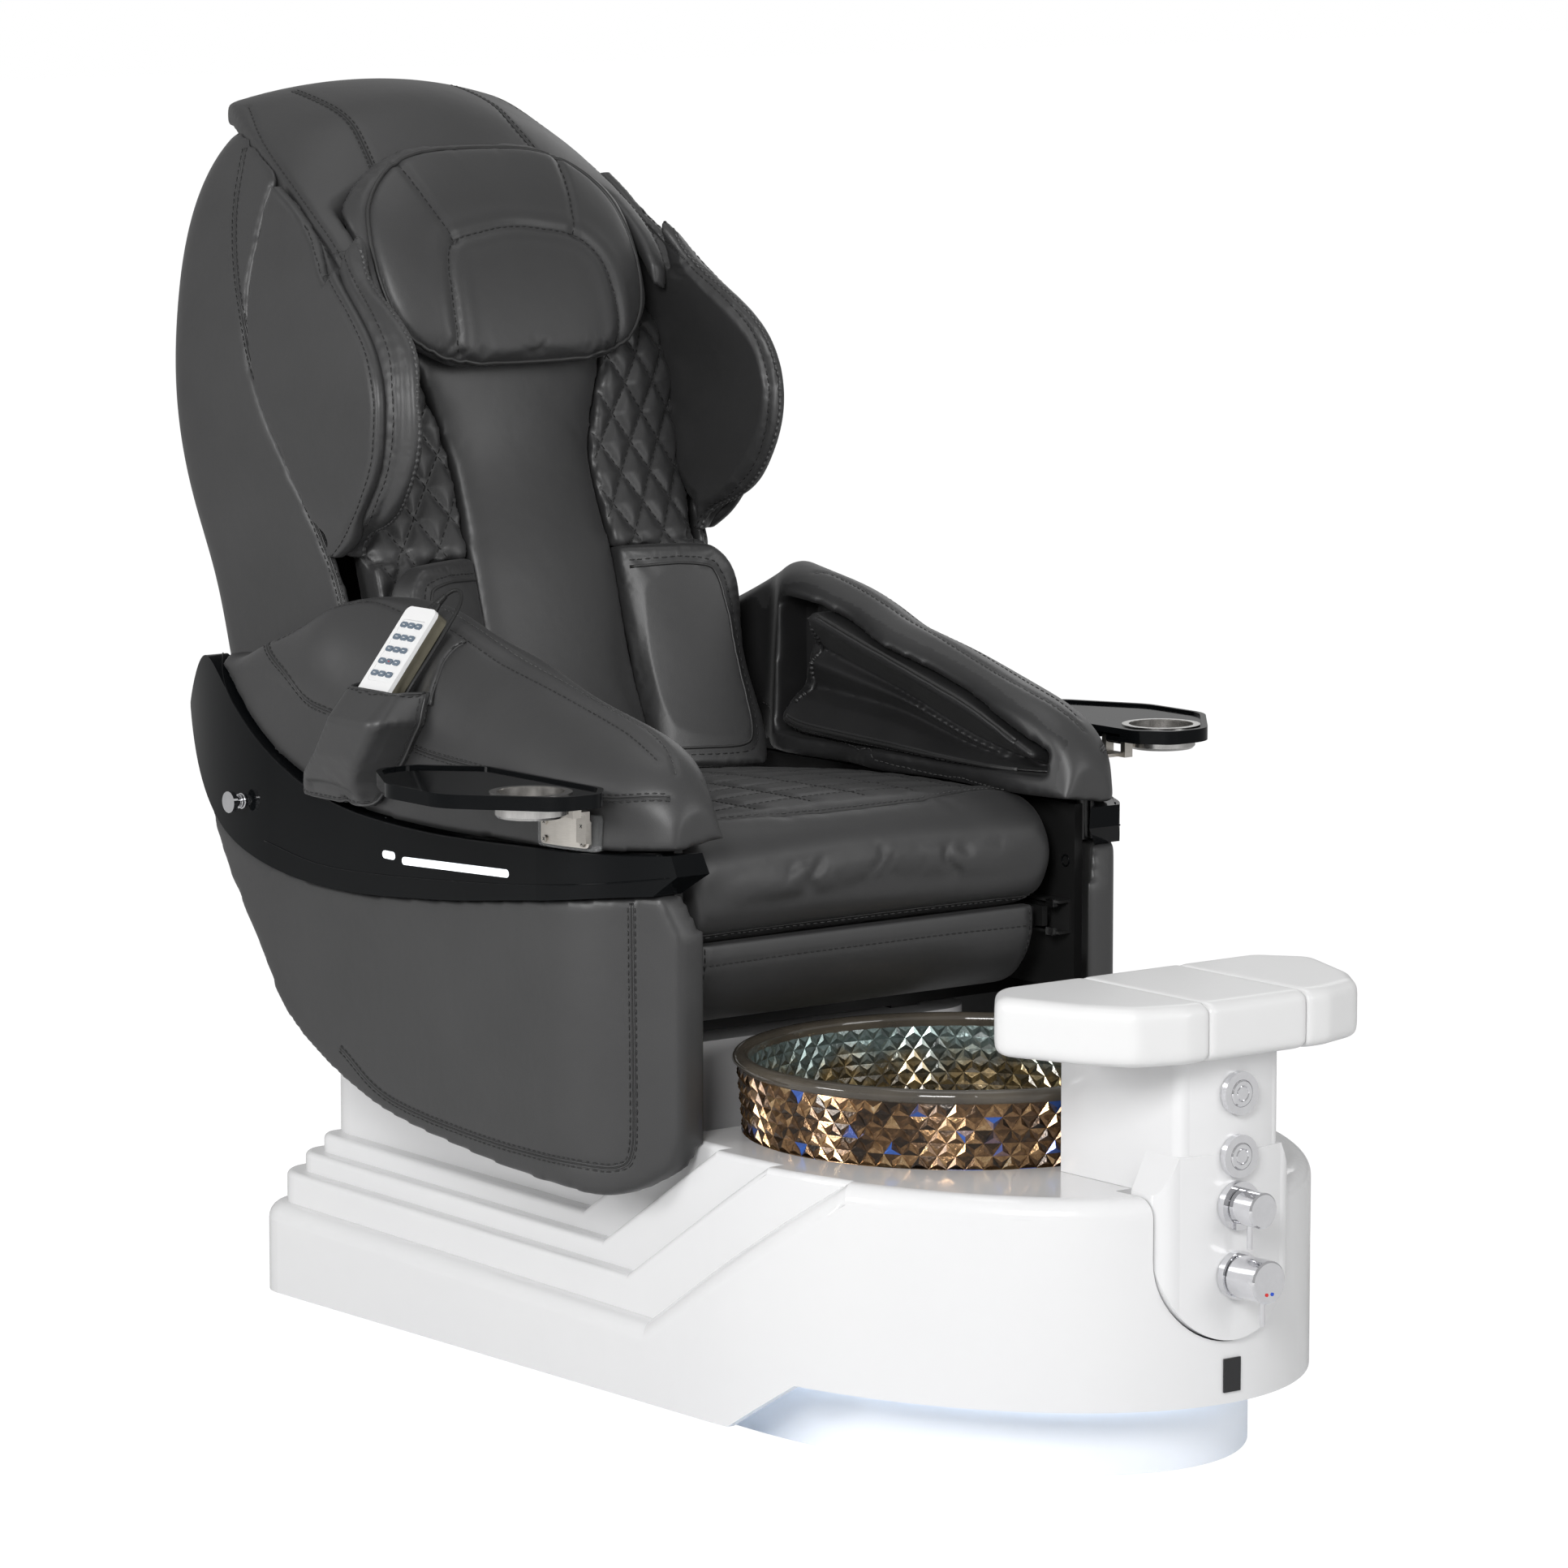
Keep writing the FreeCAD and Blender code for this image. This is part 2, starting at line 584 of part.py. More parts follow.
def rest_piece(label, x0, x1):
    """Footrest piece between two seams, as a pad with rounded edges."""
    owner = body(label, 0, 0, s.rest_top - s.rest_thick)
    drawing = sketch(owner, "XY_Plane")
    front, rear, corner = -s.rest_front, -s.rest_rear, s.rest_corner
    centre = label.endswith("centre")
    if centre:
        outline(drawing, [(x0, front), (x1, front), (x1, rear), (x0, rear)])
    elif float(x1) > 0:
        x2 = x1 + s.rest_flare
        outline(drawing, [(x0, front), (x1 - corner * 1.5, front), (x1 - corner * 0.55, front + corner * 0.3),
                          (x1, front + corner * 1.1), (x2, rear - corner * 0.9), (x2 - corner * 0.75, rear),
                          (x0, rear)])
    else:
        x2 = x0 - s.rest_flare
        outline(drawing, [(x1, front), (x0 + corner * 1.5, front), (x0 + corner * 0.55, front + corner * 0.3),
                          (x0, front + corner * 1.1), (x2, rear - corner * 0.9), (x2 + corner * 0.75, rear),
                          (x1, rear)])
    raised = owner.newObject("PartDesign::Pad", label + "_pad")
    raised.Profile = drawing
    raised.setExpression("Length", s.rest_thick.text)
    doc.recompute()
    seam = [abs(float(x)) for x in (x0, x1) if abs(abs(float(x)) - float(s.rest_seam)) < 3]
    upright = [i for i, edge in enumerate(raised.Shape.Edges, start=1)
               if edge.BoundBox.ZLength > 20
               and not any(abs(abs(edge.BoundBox.XMin) - x) < 1e-3 for x in seam)]
    last = raised
    if upright:
        last = owner.newObject("PartDesign::Fillet", label + "_corners")
        last.Base = (raised, ["Edge%d" % i for i in upright])
        last.setExpression("Radius", (s.rest_corner * 0.45).text)
        doc.recompute()
    rim = [i for i, edge in enumerate(last.Shape.Edges, start=1)
           if edge.BoundBox.ZLength < 1e-3 and not any(
               edge.BoundBox.XLength < 1e-3 and abs(abs(edge.BoundBox.XMin) - x) < 1e-3 for x in seam)]
    soft = owner.newObject("PartDesign::Fillet", label + "_edge")
    soft.Base = (last, ["Edge%d" % i for i in rim])
    soft.setExpression("Radius", s.rest_round.text)
    doc.recompute()
    return owner


rest_piece("footrest_centre", -s.rest_seam + s.rest_gap / 2, s.rest_seam - s.rest_gap / 2)
rest_piece("footrest_end_left", s.rest_seam + s.rest_gap / 2, s.rest_half_width)
rest_piece("footrest_end_right", -s.rest_half_width, -s.rest_seam - s.rest_gap / 2)

# Push buttons in bezels, valve collars and knobs on the face of the column

face = -s.column_face
facing = turns["-Y"]
bezels = []
for height in (s.jet_button_height, s.drain_button_height):
    number = len(bezels)
    ring = cylinder("bezel_ring%d" % number, 0, face, height, s.bezel_radius, s.bezel_thick, "-Y")
    sleeve = cylinder("bezel_sleeve%d" % number, 0, face + s.button_length, height, s.button_radius + 2.5,
                      s.button_length + 1, "-Y")
    bore = cylinder("bezel_bore%d" % number, 0, face + s.button_length + 1, height,
                    s.button_radius + s.sliding_gap, s.button_length + s.bezel_thick + 2, "-Y")
    bezels.append(cut("bezel%d" % number, fuse("bezel_body%d" % number, ring, sleeve), bore))
keep("button_bezels", group("button_bezels", *bezels))
for label, height in (("jet_button", s.jet_button_height), ("drain_button", s.drain_button_height)):
    reach = s.button_length + s.bezel_thick + s.button_proud - 4
    turned(label, [(0, 0), (s.button_radius - 0.5, 0), (s.button_radius, 0.5), (s.button_radius, reach - 1.5),
                   (s.button_radius - 1.5, reach), (s.button_radius * 0.55 + 1, reach),
                   (s.button_radius * 0.55, reach - 1), (s.button_radius * 0.55 - 1, reach), (0, reach)],
           0, face + s.button_length - 4, height, facing)

collars = []
for height in (s.flow_height, s.mixer_height):
    number = len(collars)
    flange = cylinder("collar%d" % number, 0, face, height, s.collar_radius, s.collar_thick, "-Y")
    throat = cylinder("throat%d" % number, 0, face + s.column_wall + 6, height, s.collar_radius * 0.6 - 0.3,
                      s.column_wall + 7, "-Y")
    bore = cylinder("throat_bore%d" % number, 0, face + 40, height, s.spindle_radius + s.sliding_gap,
                    s.collar_thick + 60, "-Y")
    collars.append(cut("valve_collar%d" % number, fuse("collar_body%d" % number, flange, throat), bore))
chest = box("valve_chest", -30, face + s.column_wall + 6, s.mixer_height - 24, 60, 44,
            s.flow_height - s.mixer_height + 48)
holes = [cylinder("valve_hole%d" % i, 0, face + 46, height, s.spindle_radius + s.sliding_gap, 60, "-Y")
         for i, height in enumerate((s.flow_height, s.mixer_height))]
keep("valve_body", fuse("valve_body", *collars, cut("valve_block", chest, fuse("valve_holes", *holes))))


def knob(label, height, radius, length, pin_reach):
    """Knob body on its spindle, with a pin that points down."""
    base = s.collar_thick + 0.8
    spun = doc.addObject("PartDesign::Body", label + "_turned")
    place(spun, 0, face, height, facing)
    drawing = sketch(spun, "XZ_Plane")
    outline(drawing, [(0, -s.column_wall - 20), (s.spindle_radius, -s.column_wall - 20),
                      (s.spindle_radius, base), (radius - 1, base), (radius, base + 1),
                      (radius, base + length - 2), (radius - 2, base + length), (0, base + length)])
    solid = spun.newObject("PartDesign::Revolution", label + "_spun")
    solid.Profile = drawing
    solid.ReferenceAxis = (drawing, ["V_Axis"])
    solid.Angle = 360
    doc.recompute()
    pin = cylinder(label + "_pin", 0, face - base - pin_reach, height - radius - s.pin_length, s.pin_radius,
                   s.pin_length + 4)
    return keep(label, fuse(label, spun, pin))


knob("flow_knob", s.flow_height, s.flow_radius, s.flow_length, s.flow_length * 0.35)
knob("mixer_knob", s.mixer_height, s.mixer_radius, s.mixer_length, s.mixer_length * 0.75)
mixer_face = face - s.collar_thick - 0.8 - s.mixer_length
for label, side_x in (("mixer_hot_dot", -1), ("mixer_cold_dot", 1)):
    keep(label, cylinder(label, side_x * s.dot_radius * 2, mixer_face, s.mixer_height - s.mixer_radius * 0.55,
                         s.dot_radius, s.dot_thick, "-Y"))

badge = box("badge_plate", -s.badge_width / 2, -s.base_nose - s.badge_thick - 0.3,
            s.badge_centre - s.badge_height / 2, s.badge_width, s.badge_thick, s.badge_height)
keep("badge_plate", badge)

# Jet in the front wall of the bowl and the water spout above its rim

jet_height = float(s.bowl_bottom) + float(s.jet_rise)
jet_wall = float(s.bowl_y) - float(s.jet_reach)
feature("bowl_jet", rod(point(0, jet_wall + 5, jet_height), point(0, jet_wall, jet_height), s.jet_flange)
        .fuse(rod(point(0, jet_wall, jet_height), point(0, jet_wall - 15.4, jet_height), s.jet_stem)))
feature("water_spout", rod(point(0, -float(s.column_rear) - 30, spout_height),
                           point(0, -float(s.column_rear) + 18, spout_height), 13)
        .cut(rod(point(0, -float(s.column_rear) - 30, spout_height),
                 point(0, -float(s.column_rear) + 19, spout_height), 9)))

# Side shell: plan curve of the panels and bands, bulged at mid length, drawn in at the tip and the tail

half_side = float(s.side_half_width)
front_y, rear_y = float(s.side_flat_front), float(s.side_flat_rear)
tip_in, tip_run = half_side - float(s.side_tip), front_y + float(s.tip_front)
tail_in, tail_run = half_side - float(s.side_tail), float(s.tail_rear) - rear_y
front_radius = (tip_in ** 2 + tip_run ** 2) / (2 * tip_in)
rear_radius = (tail_in ** 2 + tail_run ** 2) / (2 * tail_in)


def side_x(y, inset=0.0):
    """Half width of the side shell at one y."""
    if y < front_y:
        return half_side - front_radius + math.sqrt((front_radius - inset) ** 2 - (front_y - y) ** 2)
    if y > rear_y:
        return half_side - rear_radius + math.sqrt((rear_radius - inset) ** 2 - (y - rear_y) ** 2)
    return half_side - inset


def side_strip(outer_inset, inner_inset):
    """Curved wall on the +X side between two insets, 1 m high."""
    front_end, rear_end = float(s.tip_front) + 14, float(s.tail_rear) + 14
    rings = []
    for inset in (outer_inset, inner_inset):
        spots = []
        for y in (-front_end, (front_y - front_end) / 2, front_y, rear_y, (rear_y + rear_end) / 2, rear_end):
            spots.append(point(side_x(y, inset), y, 0))
        rings.append(spots)
    a, b = rings
    wire = Part.Wire([arc(a[0], a[1], a[2]), line(a[2], a[3]), arc(a[3], a[4], a[5]), line(a[5], b[5]),
                      arc(b[5], b[4], b[3]), line(b[3], b[2]), arc(b[2], b[1], b[0]), line(b[0], a[0])])
    return prism(wire, 0, 0, 1000)


def side_cut(edges):
    """Side outline pushed through the +X side."""
    return prism(Part.Wire(edges), 500, 0, 0).common(block(200, -wide, 0, 500, 1200, 1000))


# (y, z) of the two lines that bound the gloss band
band_top = side([(-117, 655), (-40, 652), (60, 650), (170, 645), (268, 643), (366, 646), (440, 653),
                 (520, 670), (600, 703), (668, 744), (720, 782), (765, 800), (800, 780), (838, 733)])
band_low = side([(-101, 608), (-67, 605), (20, 594), (108, 583), (210, 570), (305, 561), (400, 554),
                 (487, 553), (560, 558), (615, 567), (716, 598), (779, 640), (838, 727)])
tip = point(0, -float(s.tip_front), 631)
top_curve, low_curve = curve(band_top), curve(band_low)
band_outline = [top_curve, line(band_top[-1], band_low[-1]), low_curve, line(band_low[0], tip),
                line(tip, band_top[0])]
band_wall = side_strip(-float(s.band_proud), float(s.band_thick))
band = side_cut(band_outline).common(band_wall)

# Light bars: plain inlays in the band, a short and a long one on each side


def inlay(y0, z0, y1, z1, grow, outer_inset, inner_inset):
    along = point(0, y1 - y0, z1 - z0).normalize()
    up = Vector(0, -along.z, along.y) * (float(s.bar_height) / 2 + grow)
    a, b = point(0, y0, z0), point(0, y1, z1)
    edges = [line(a - up, b - up), arc(b - up, b + along * (up.Length), b + up), line(b + up, a + up),
             arc(a + up, a - along * (up.Length), a - up)]
    return side_cut(edges).common(side_strip(outer_inset, inner_inset))


bars = [(352, 607, 336, 607), (312, 604, 108, 614)]
bar_outer = -float(s.band_proud) - float(s.bar_proud)
bar_inner = -float(s.band_proud) + float(s.bar_depth)
lights = [inlay(*bar, 0, bar_outer, bar_inner) for bar in bars]
for bar in bars:
    band = band.cut(inlay(*bar, gap, bar_outer - 5, bar_inner + gap))
feature("band_left", band)
feature("band_right", flip(band))
feature("light_bars", Part.Compound(lights + [flip(light) for light in lights]))

# Side panels: padded boards under the bands

panel_gap = 0.5
lower_line = [point(0, p.y, p.z - panel_gap) for p in band_low[:-2]]
bottom = side([(-108, 294), (-92, 281), (-60, 263), (10, 261), (111, 267), (242, 280), (330, 291), (400, 306),
               (495, 341), (580, 393), (650, 478), (722, 552), (772, 612)])
panel_outline = [curve(lower_line), line(lower_line[-1], bottom[-1]), curve(bottom),
                 line(bottom[0], point(0, -118, 330)), line(point(0, -118, 330), point(0, -118, 560)),
                 line(point(0, -118, 560), lower_line[0])]
panel = side_cut(panel_outline).common(side_strip(0, float(s.panel_thick)))
band_space = side_cut(band_outline).common(side_strip(-20, float(s.band_thick) + gap))
over_panel = side_cut(band_outline).common(side_strip(-20, float(s.panel_thick) + 5))
panel = panel.cut(over_panel.translated(point(0, 0, -panel_gap)))
feature("side_panel_left", panel)
feature("side_panel_right", flip(panel))

# Inner panels on the cross beams, with the outer channels of the seat slide

inner_low = s.chassis_top
inner_left = box("inner_board", s.inner_panel, s.inner_front, inner_low, s.inner_thick,
                 s.inner_rear - s.inner_front, s.inner_top - inner_low)
web_x = s.inner_panel - s.channel_depth
channel_low = s.channel_middle - s.channel_height / 2
channel = cut("channel_left", box("channel_bar", web_x, s.channel_front, channel_low, s.channel_depth,
                                  s.channel_rear - s.channel_front, s.channel_height),
              box("channel_slot", web_x - 1, s.channel_front - 1, channel_low + s.channel_wall,
                  s.channel_depth - s.channel_wall + 1, s.channel_rear - s.channel_front + 2,
                  s.channel_height - 2 * s.channel_wall))
keep("inner_panels", group("inner_panels", inner_left, mirrored("inner_board_right", inner_left)))
keep("seat_channels", group("seat_channels", channel, mirrored("channel_right", channel)))

# Bag hook on the right band

hook_x = -side_x(float(s.hook_y), -float(s.band_proud))
feature("bag_hook", rod(point(hook_x - 1.3, s.hook_y, s.hook_height),
                        point(hook_x - float(s.hook_length), s.hook_y, s.hook_height), s.hook_neck)
        .fuse(rod(point(hook_x - float(s.hook_length), s.hook_y, s.hook_height),
                  point(hook_x - float(s.hook_length) - float(s.hook_disc), s.hook_y, s.hook_height),
                  s.hook_radius)))

# Arms: padded covers lofted through lines and arcs, with an open recess on the inside
# y, bottom of the outside, shoulder seam, crest, crest half width, inner half width

arm_rows = [(-112, 657, 682, 704, 288, 252), (-72, 656, 706, 755, 296, 242), (53, 652, 718, 796, 305, 240),
            (160, 648, 725, 824, 308, 240), (268, 645, 732, 853, 310, 240), (366, 648, 740, 880, 312, 240),
            (440, 655, 752, 890, 318, 246), (500, 668, 764, 886, 346, 284), (560, 688, 775, 858, 362, 289),
            (620, 716, 788, 832, 368, 289), (680, 757, 790, 808, 368, 291), (735, 792, 799, 806, 360, 298)]
arm_inner_low = 668


def arm_section(row):
    y, low, seam, crest, crest_x, inner = row
    a = point(side_x(y) - 2, y, low)
    b = point(side_x(y) - 6, y, seam)
    c = point(crest_x, y, crest)
    d = point(inner + 12, y, crest - 16)
    e = point(inner, y, max(arm_inner_low, low - 30))
    bulge = (b + c) / 2 + Vector(c.z - b.z, 0, b.x - c.x).normalize() * ((c - b).Length * 0.14)
    cap = (c + d) / 2 + Vector(-0.15, 0, 1).normalize() * ((d - c).Length * 0.16)
    return Part.Wire([line(a, b), arc(b, bulge, c), arc(c, cap, d), line(d, e), line(e, a)])


arm = loft([arm_section(row) for row in arm_rows])
recess = side([(-80, 690), (-78, 720), (53, 770), (160, 799), (268, 828), (366, 855), (448, 862), (446, 688)])
recess_wire = rounded([point(200, p.y, p.z) for p in recess], [8, 9, 0, 0, 0, 0, 24, 14])
arm = arm.cut(prism(recess_wire, 124, 0, 0)).cut(band_space.translated(point(0, 0, gap))).cut(band_space)
feature("arm_left", arm)
feature("arm_right", flip(arm))

# Airbags in the arm recess: a pad along the top and one along the floor, with the forearm slot between them

upper_pad = prism(rounded([point(256, y, z) for y, z in
                           ((-66, 716), (-20, 714), (388, 832), (366, 854.5), (268, 827.5), (160, 798.5),
                            (56, 770.4))], [3, 4, 5, 5, 0, 0, 0]), 60, 0, 0)
lower_pad = prism(rounded([point(250, y, z) for y, z in
                           ((-66, 690.4), (430, 688.5), (440, 712), (368, 738), (10, 704))],
                          [3, 4, 8, 6, 0]), 66, 0, 0)
feature("arm_airbags", Part.Compound([upper_pad, lower_pad, flip(upper_pad), flip(lower_pad)]))

# Tray brackets: clear backing and plate on the arm, a post and a knuckle; hinge axis along Y

hinge_x, hinge_y, hinge_z = float(s.tray_hinge_x), float(s.tray_hinge_y), float(s.tray_hinge_height)
knuckle, half_knuckle = float(s.knuckle), float(s.knuckle_length) / 2
backing_out, plate_low, plate_high = -2.0, 657.5, 691
bar_low, bar_high = 696.5, 700.5


def plate_zone(y0, z0, y1, z1):
    corners = [point(200, y, z) for y, z in ((y0, z0), (y1, z0), (y1, z1), (y0, z1))]
    return prism(rounded(corners, 5), 300, 0, 0)


backing = side_strip(backing_out, 8).common(plate_zone(-38, plate_low - 4, 54, plate_high + 4))
backing = backing.cut(arm.translated(point(gap, 0, 0)))
bracket_zone = plate_zone(-30, plate_low, 44, plate_high)
bracket_plate = side_strip(backing_out - 3.3, backing_out - 0.3).common(bracket_zone)
plate_x = side_x(hinge_y, backing_out - 3.3)
post = block(plate_x - 3, hinge_y - 9, plate_low + 6, plate_x + 3, hinge_y + 9, bar_high)
arm_bar = block(plate_x - 3, hinge_y - 9, bar_low, hinge_x + 2, hinge_y + 9, bar_high)
lug_far = half_knuckle + 8.3
lugs = [block(hinge_x - 6, y - 4, bar_low, hinge_x + 6, y + 4, hinge_z).fuse(
    rod(point(hinge_x, y - 4, hinge_z), point(hinge_x, y + 4, hinge_z), 6))
    for y in (hinge_y - lug_far + 4, hinge_y + lug_far - 4)]
lug_base = block(hinge_x - 6, hinge_y - lug_far, bar_low, hinge_x + 6, hinge_y + lug_far, bar_high)
pin_radius = float(s.tray_pin)
hinge_pin = rod(point(hinge_x, hinge_y - lug_far - 1.5, hinge_z),
                point(hinge_x, hinge_y + lug_far + 1.5, hinge_z), pin_radius)
screws = []
for y, z in ((-22, 663), (36, 663), (-22, 683), (36, 683)):
    x = side_x(y, backing_out - 3.3)
    screws.append(rod(point(x - 2, y, z), point(x + 2.2, y, z), 4.2))
bracket = bracket_plate.fuse([post, arm_bar, lug_base, hinge_pin] + lugs + screws)
bracket = bracket.cut(arm.translated(point(gap, 0, 0))).cut(arm)
backing = backing.cut(arm)
bracket = max(bracket.Solids, key=lambda solid: solid.Volume)
feature("tray_brackets", Part.Compound([bracket, backing, flip(bracket), flip(backing)]))

# Trays: black plates with a raised lip and a cup hole, each on a knuckle under its inner edge


def tray_plan(inset, z, height):
    x0, x1 = float(s.tray_inner) + inset, float(s.tray_outer) - inset
    y0, y1 = float(s.tray_front) + inset, float(s.tray_rear) - inset
    spots = [point(x0, y0 + 36, z), point(x0 + 30, y0, z), point(x1 - 90, y0, z), point(x1, y0 + 108, z),
             point(x1, y1 - 110, z), point(x1 - 60, y1, z), point(x0 + 60, y1, z), point(x0, y1 - 60, z)]
    return prism(rounded(spots, [28, 28, 46, 60, 60, 44, 24, 24]), 0, 0, height)


tray_low = float(s.tray_top) - float(s.tray_thick)
lip, cup_radius = float(s.tray_lip), float(s.cup_radius)
tray = tray_plan(0, tray_low, float(s.tray_thick))
tray = tray.cut(tray_plan(lip, float(s.tray_top) - float(s.tray_recess), 10))
cup_axis = point(s.cup_x, s.cup_y, 0)
tray = tray.cut(Part.makeCylinder(cup_radius + gap, 60, cup_axis + Vector(0, 0, tray_low - 10)))
tray = tray.cut(block(hinge_x - 25, hinge_y - lug_far - 3, tray_low - 1, hinge_x + knuckle,
                      hinge_y + lug_far + 3, hinge_z + 7.5))
sleeve = rod(point(hinge_x, hinge_y - half_knuckle, hinge_z),
             point(hinge_x, hinge_y + half_knuckle, hinge_z), 7)
carrier = block(hinge_x, hinge_y - half_knuckle, hinge_z - 4,
                hinge_x + 16, hinge_y + half_knuckle, hinge_z + 8)
tray = tray.fuse([sleeve, carrier]).cut(rod(point(hinge_x, hinge_y - half_knuckle - 1, hinge_z),
                                            point(hinge_x, hinge_y + half_knuckle + 1, hinge_z),
                                            pin_radius + float(s.sliding_gap) / 5))
feature("tray_left", tray)
feature("tray_right", flip(tray))

cup_floor = float(s.tray_top) - float(s.tray_recess) - float(s.cup_depth)
rim_level = float(s.tray_top) - float(s.tray_recess)
for label, cup_x in (("cup_left", s.cup_x), ("cup_right", -s.cup_x)):
    turned(label, [(0, 0), (s.cup_radius - 3, 0), (s.cup_radius, 3), (s.cup_radius, s.cup_depth + 0.1),
                   (s.cup_rim, s.cup_depth + 0.1), (s.cup_rim, s.cup_depth + 1.6),
                   (s.cup_radius - s.cup_wall - 1, s.cup_depth + 1.6),
                   (s.cup_radius - s.cup_wall, s.cup_depth),
                   (s.cup_radius - s.cup_wall, 4), (s.cup_radius - 4, s.cup_wall), (0, s.cup_wall)],
           cup_x, s.cup_y, s.tray_top - s.tray_recess - s.cup_depth)

# Seat: plate and side angles on runners, cushion, padded apron

plate_top = s.seat_plate + s.seat_plate_thick
runner_x = s.inner_panel - s.channel_depth - 8
frame_pieces = [box("seat_board", -s.seat_half_width, -40, s.seat_plate, 2 * s.seat_half_width,
                    s.seat_rear + 30, s.seat_plate_thick)]
for number, x in enumerate((-runner_x, s.seat_half_width - 2)):
    frame_pieces.append(box("seat_angle%d" % number, x, -40, s.seat_plate - 14,
                            runner_x - s.seat_half_width + 2, s.seat_rear + 30, 22))
lug_y = s.pivot_y - 12
for number, x in enumerate((-s.pivot_x - 8, s.pivot_x)):
    frame_pieces.append(box("seat_arm%d" % number, x, s.seat_rear - 60, s.seat_plate - 14, 8,
                            s.pivot_y - s.seat_rear + 78, 22))
    frame_pieces.append(box("seat_lug%d" % number, x, lug_y - 6, s.seat_plate, 8, 36,
                            s.pivot_height - s.seat_plate + 18))
    frame_pieces.append(cylinder("seat_pin%d" % number, (-s.pivot_x - 8) if number == 0 else s.pivot_x - 14,
                                 s.pivot_y, s.pivot_height, s.pin_hinge, 22, "+X"))
keep("seat_frame", fuse("seat_frame", *frame_pieces))

runner_low = s.channel_middle - 12
runner_parts = []
for number, x in enumerate((-s.inner_panel + s.channel_depth, runner_x)):
    runner_parts.append(box("runner_bar%d" % number, x, -56, runner_low, 8, s.seat_rear + 46, 24))
    for roller_y in (-30, 180, 380):
        if number == 0:
            roller_x = s.channel_wall + s.running_gap - s.inner_panel
        else:
            roller_x = s.inner_panel - s.channel_depth
        runner_parts.append(cylinder("roller%d" % len(runner_parts), roller_x, roller_y, s.channel_middle,
                                     s.roller_radius, s.channel_depth - s.channel_wall - s.running_gap, "+X"))
keep("seat_runners", fuse("seat_runners", *runner_parts))

cushion_low = float(plate_top) + gap
cushion_rows = [  # y, bottom, edge height, crown height, half width below, half width in the middle
    (-76, 572, 622, 632, 246, 258), (-64, 552, 643, 655, 250, 268), (-40, 540, 656, 669, 253, 274),
    (20, 535, 662, 676, 254, 275), (150, 535, 661, 675, 254, 275), (280, 535, 654, 669, 253, 273),
    (390, 536, 644, 659, 250, 268), (440, 541, 636, 650, 245, 260)]


def cushion_section(row):
    y, low, edge, crown, below_half, half = row
    low = max(low, cushion_low)
    a, b = point(-below_half, y, low), point(below_half, y, low)
    c, d = point(half - 16, y, edge), point(-half + 16, y, edge)
    middle = (low + edge) / 2 + 8
    return Part.Wire([line(a, b), arc(b, point(half, y, middle), c), arc(c, point(0, y, crown), d),
                      arc(d, point(-half, y, middle), a)])


feature("seat_cushion", loft([cushion_section(row) for row in cushion_rows]))

apron_half, apron_thick = float(s.skirt_half_width), float(s.skirt_thick)
apron_top = float(plate_top) + 2
apron = Part.Wire([
    arc(point(-apron_half, -60, apron_top), point(-apron_half, -46, 468), point(-apron_half, 42, 437)),
    line(point(-apron_half, 42, 437), point(-apron_half, 46, 437 + apron_thick)),
    arc(point(-apron_half, 46, 437 + apron_thick), point(-apron_half, -27, 477),
        point(-apron_half, -40.5, s.seat_plate)),
    line(point(-apron_half, -40.5, s.seat_plate), point(-apron_half, -40.5, apron_top)),
    line(point(-apron_half, -40.5, apron_top), point(-apron_half, -60, apron_top)),
])
feature("seat_skirt", prism(apron, 2 * apron_half, 0, 0))

# Recline actuator under the seat: housing hung from the board, rod with a fork and a cross pin

crank_height = s.seat_plate - s.actuator_drop
half_actuator = s.actuator_width / 2
housing = [box("actuator_body", -half_actuator, 90, crank_height - 24, s.actuator_width, 240, 46),
           box("actuator_motor", -half_actuator - 44, 100, crank_height - 22, 46, 110, 42)]
for number, y in enumerate((110, 280)):
    housing.append(box("actuator_hanger%d" % number, -half_actuator, y, crank_height + 20,
                       s.actuator_width, 24, s.actuator_drop - 20 - s.fit_gap))
rod_radius = s.actuator_rod
bored = cylinder("actuator_bore", 0, 140, crank_height, rod_radius + s.sliding_gap / 3, 200, "+Y")
keep("recline_actuator", cut("recline_housing", fuse("actuator_solid", *housing), bored))
rod_parts = [cylinder("rod_bar", 0, 200, crank_height, rod_radius, s.pivot_y - 230, "+Y")]
fork_bridge = box("fork_bridge", -16, s.pivot_y - 36, crank_height - 9, 32, 10, 18)
rod_parts.append(fork_bridge)
for number, x in enumerate((-16, 10)):
    rod_parts.append(box("fork_cheek%d" % number, x, s.pivot_y - 30, crank_height - 9, 6, 40, 18))
rod_parts.append(cylinder("fork_pin", -18, s.pivot_y, crank_height, s.crank_pin, 36, "+X"))
keep("recline_rod", fuse("recline_rod", *rod_parts))

# Back frame: two leaning tubes with cross tubes, foot plates on the pivot pins, crank, racks and a head plate

lean = math.radians(float(s.frame_lean))
frame_foot = point(0, s.frame_foot_y, s.pivot_height)


def leaning(shape):
    """Shape drawn upright at the origin, moved onto the line of the back frame."""
    moved = shape.copy()
    tilt = Rotation(Vector(1, 0, 0), -math.degrees(lean))
    moved.Placement = Placement(frame_foot, tilt).multiply(moved.Placement)
    return moved


def along(x, v, w):
    return frame_foot + Vector(float(x), v * math.cos(lean) + w * math.sin(lean),
                               w * math.cos(lean) - v * math.sin(lean))


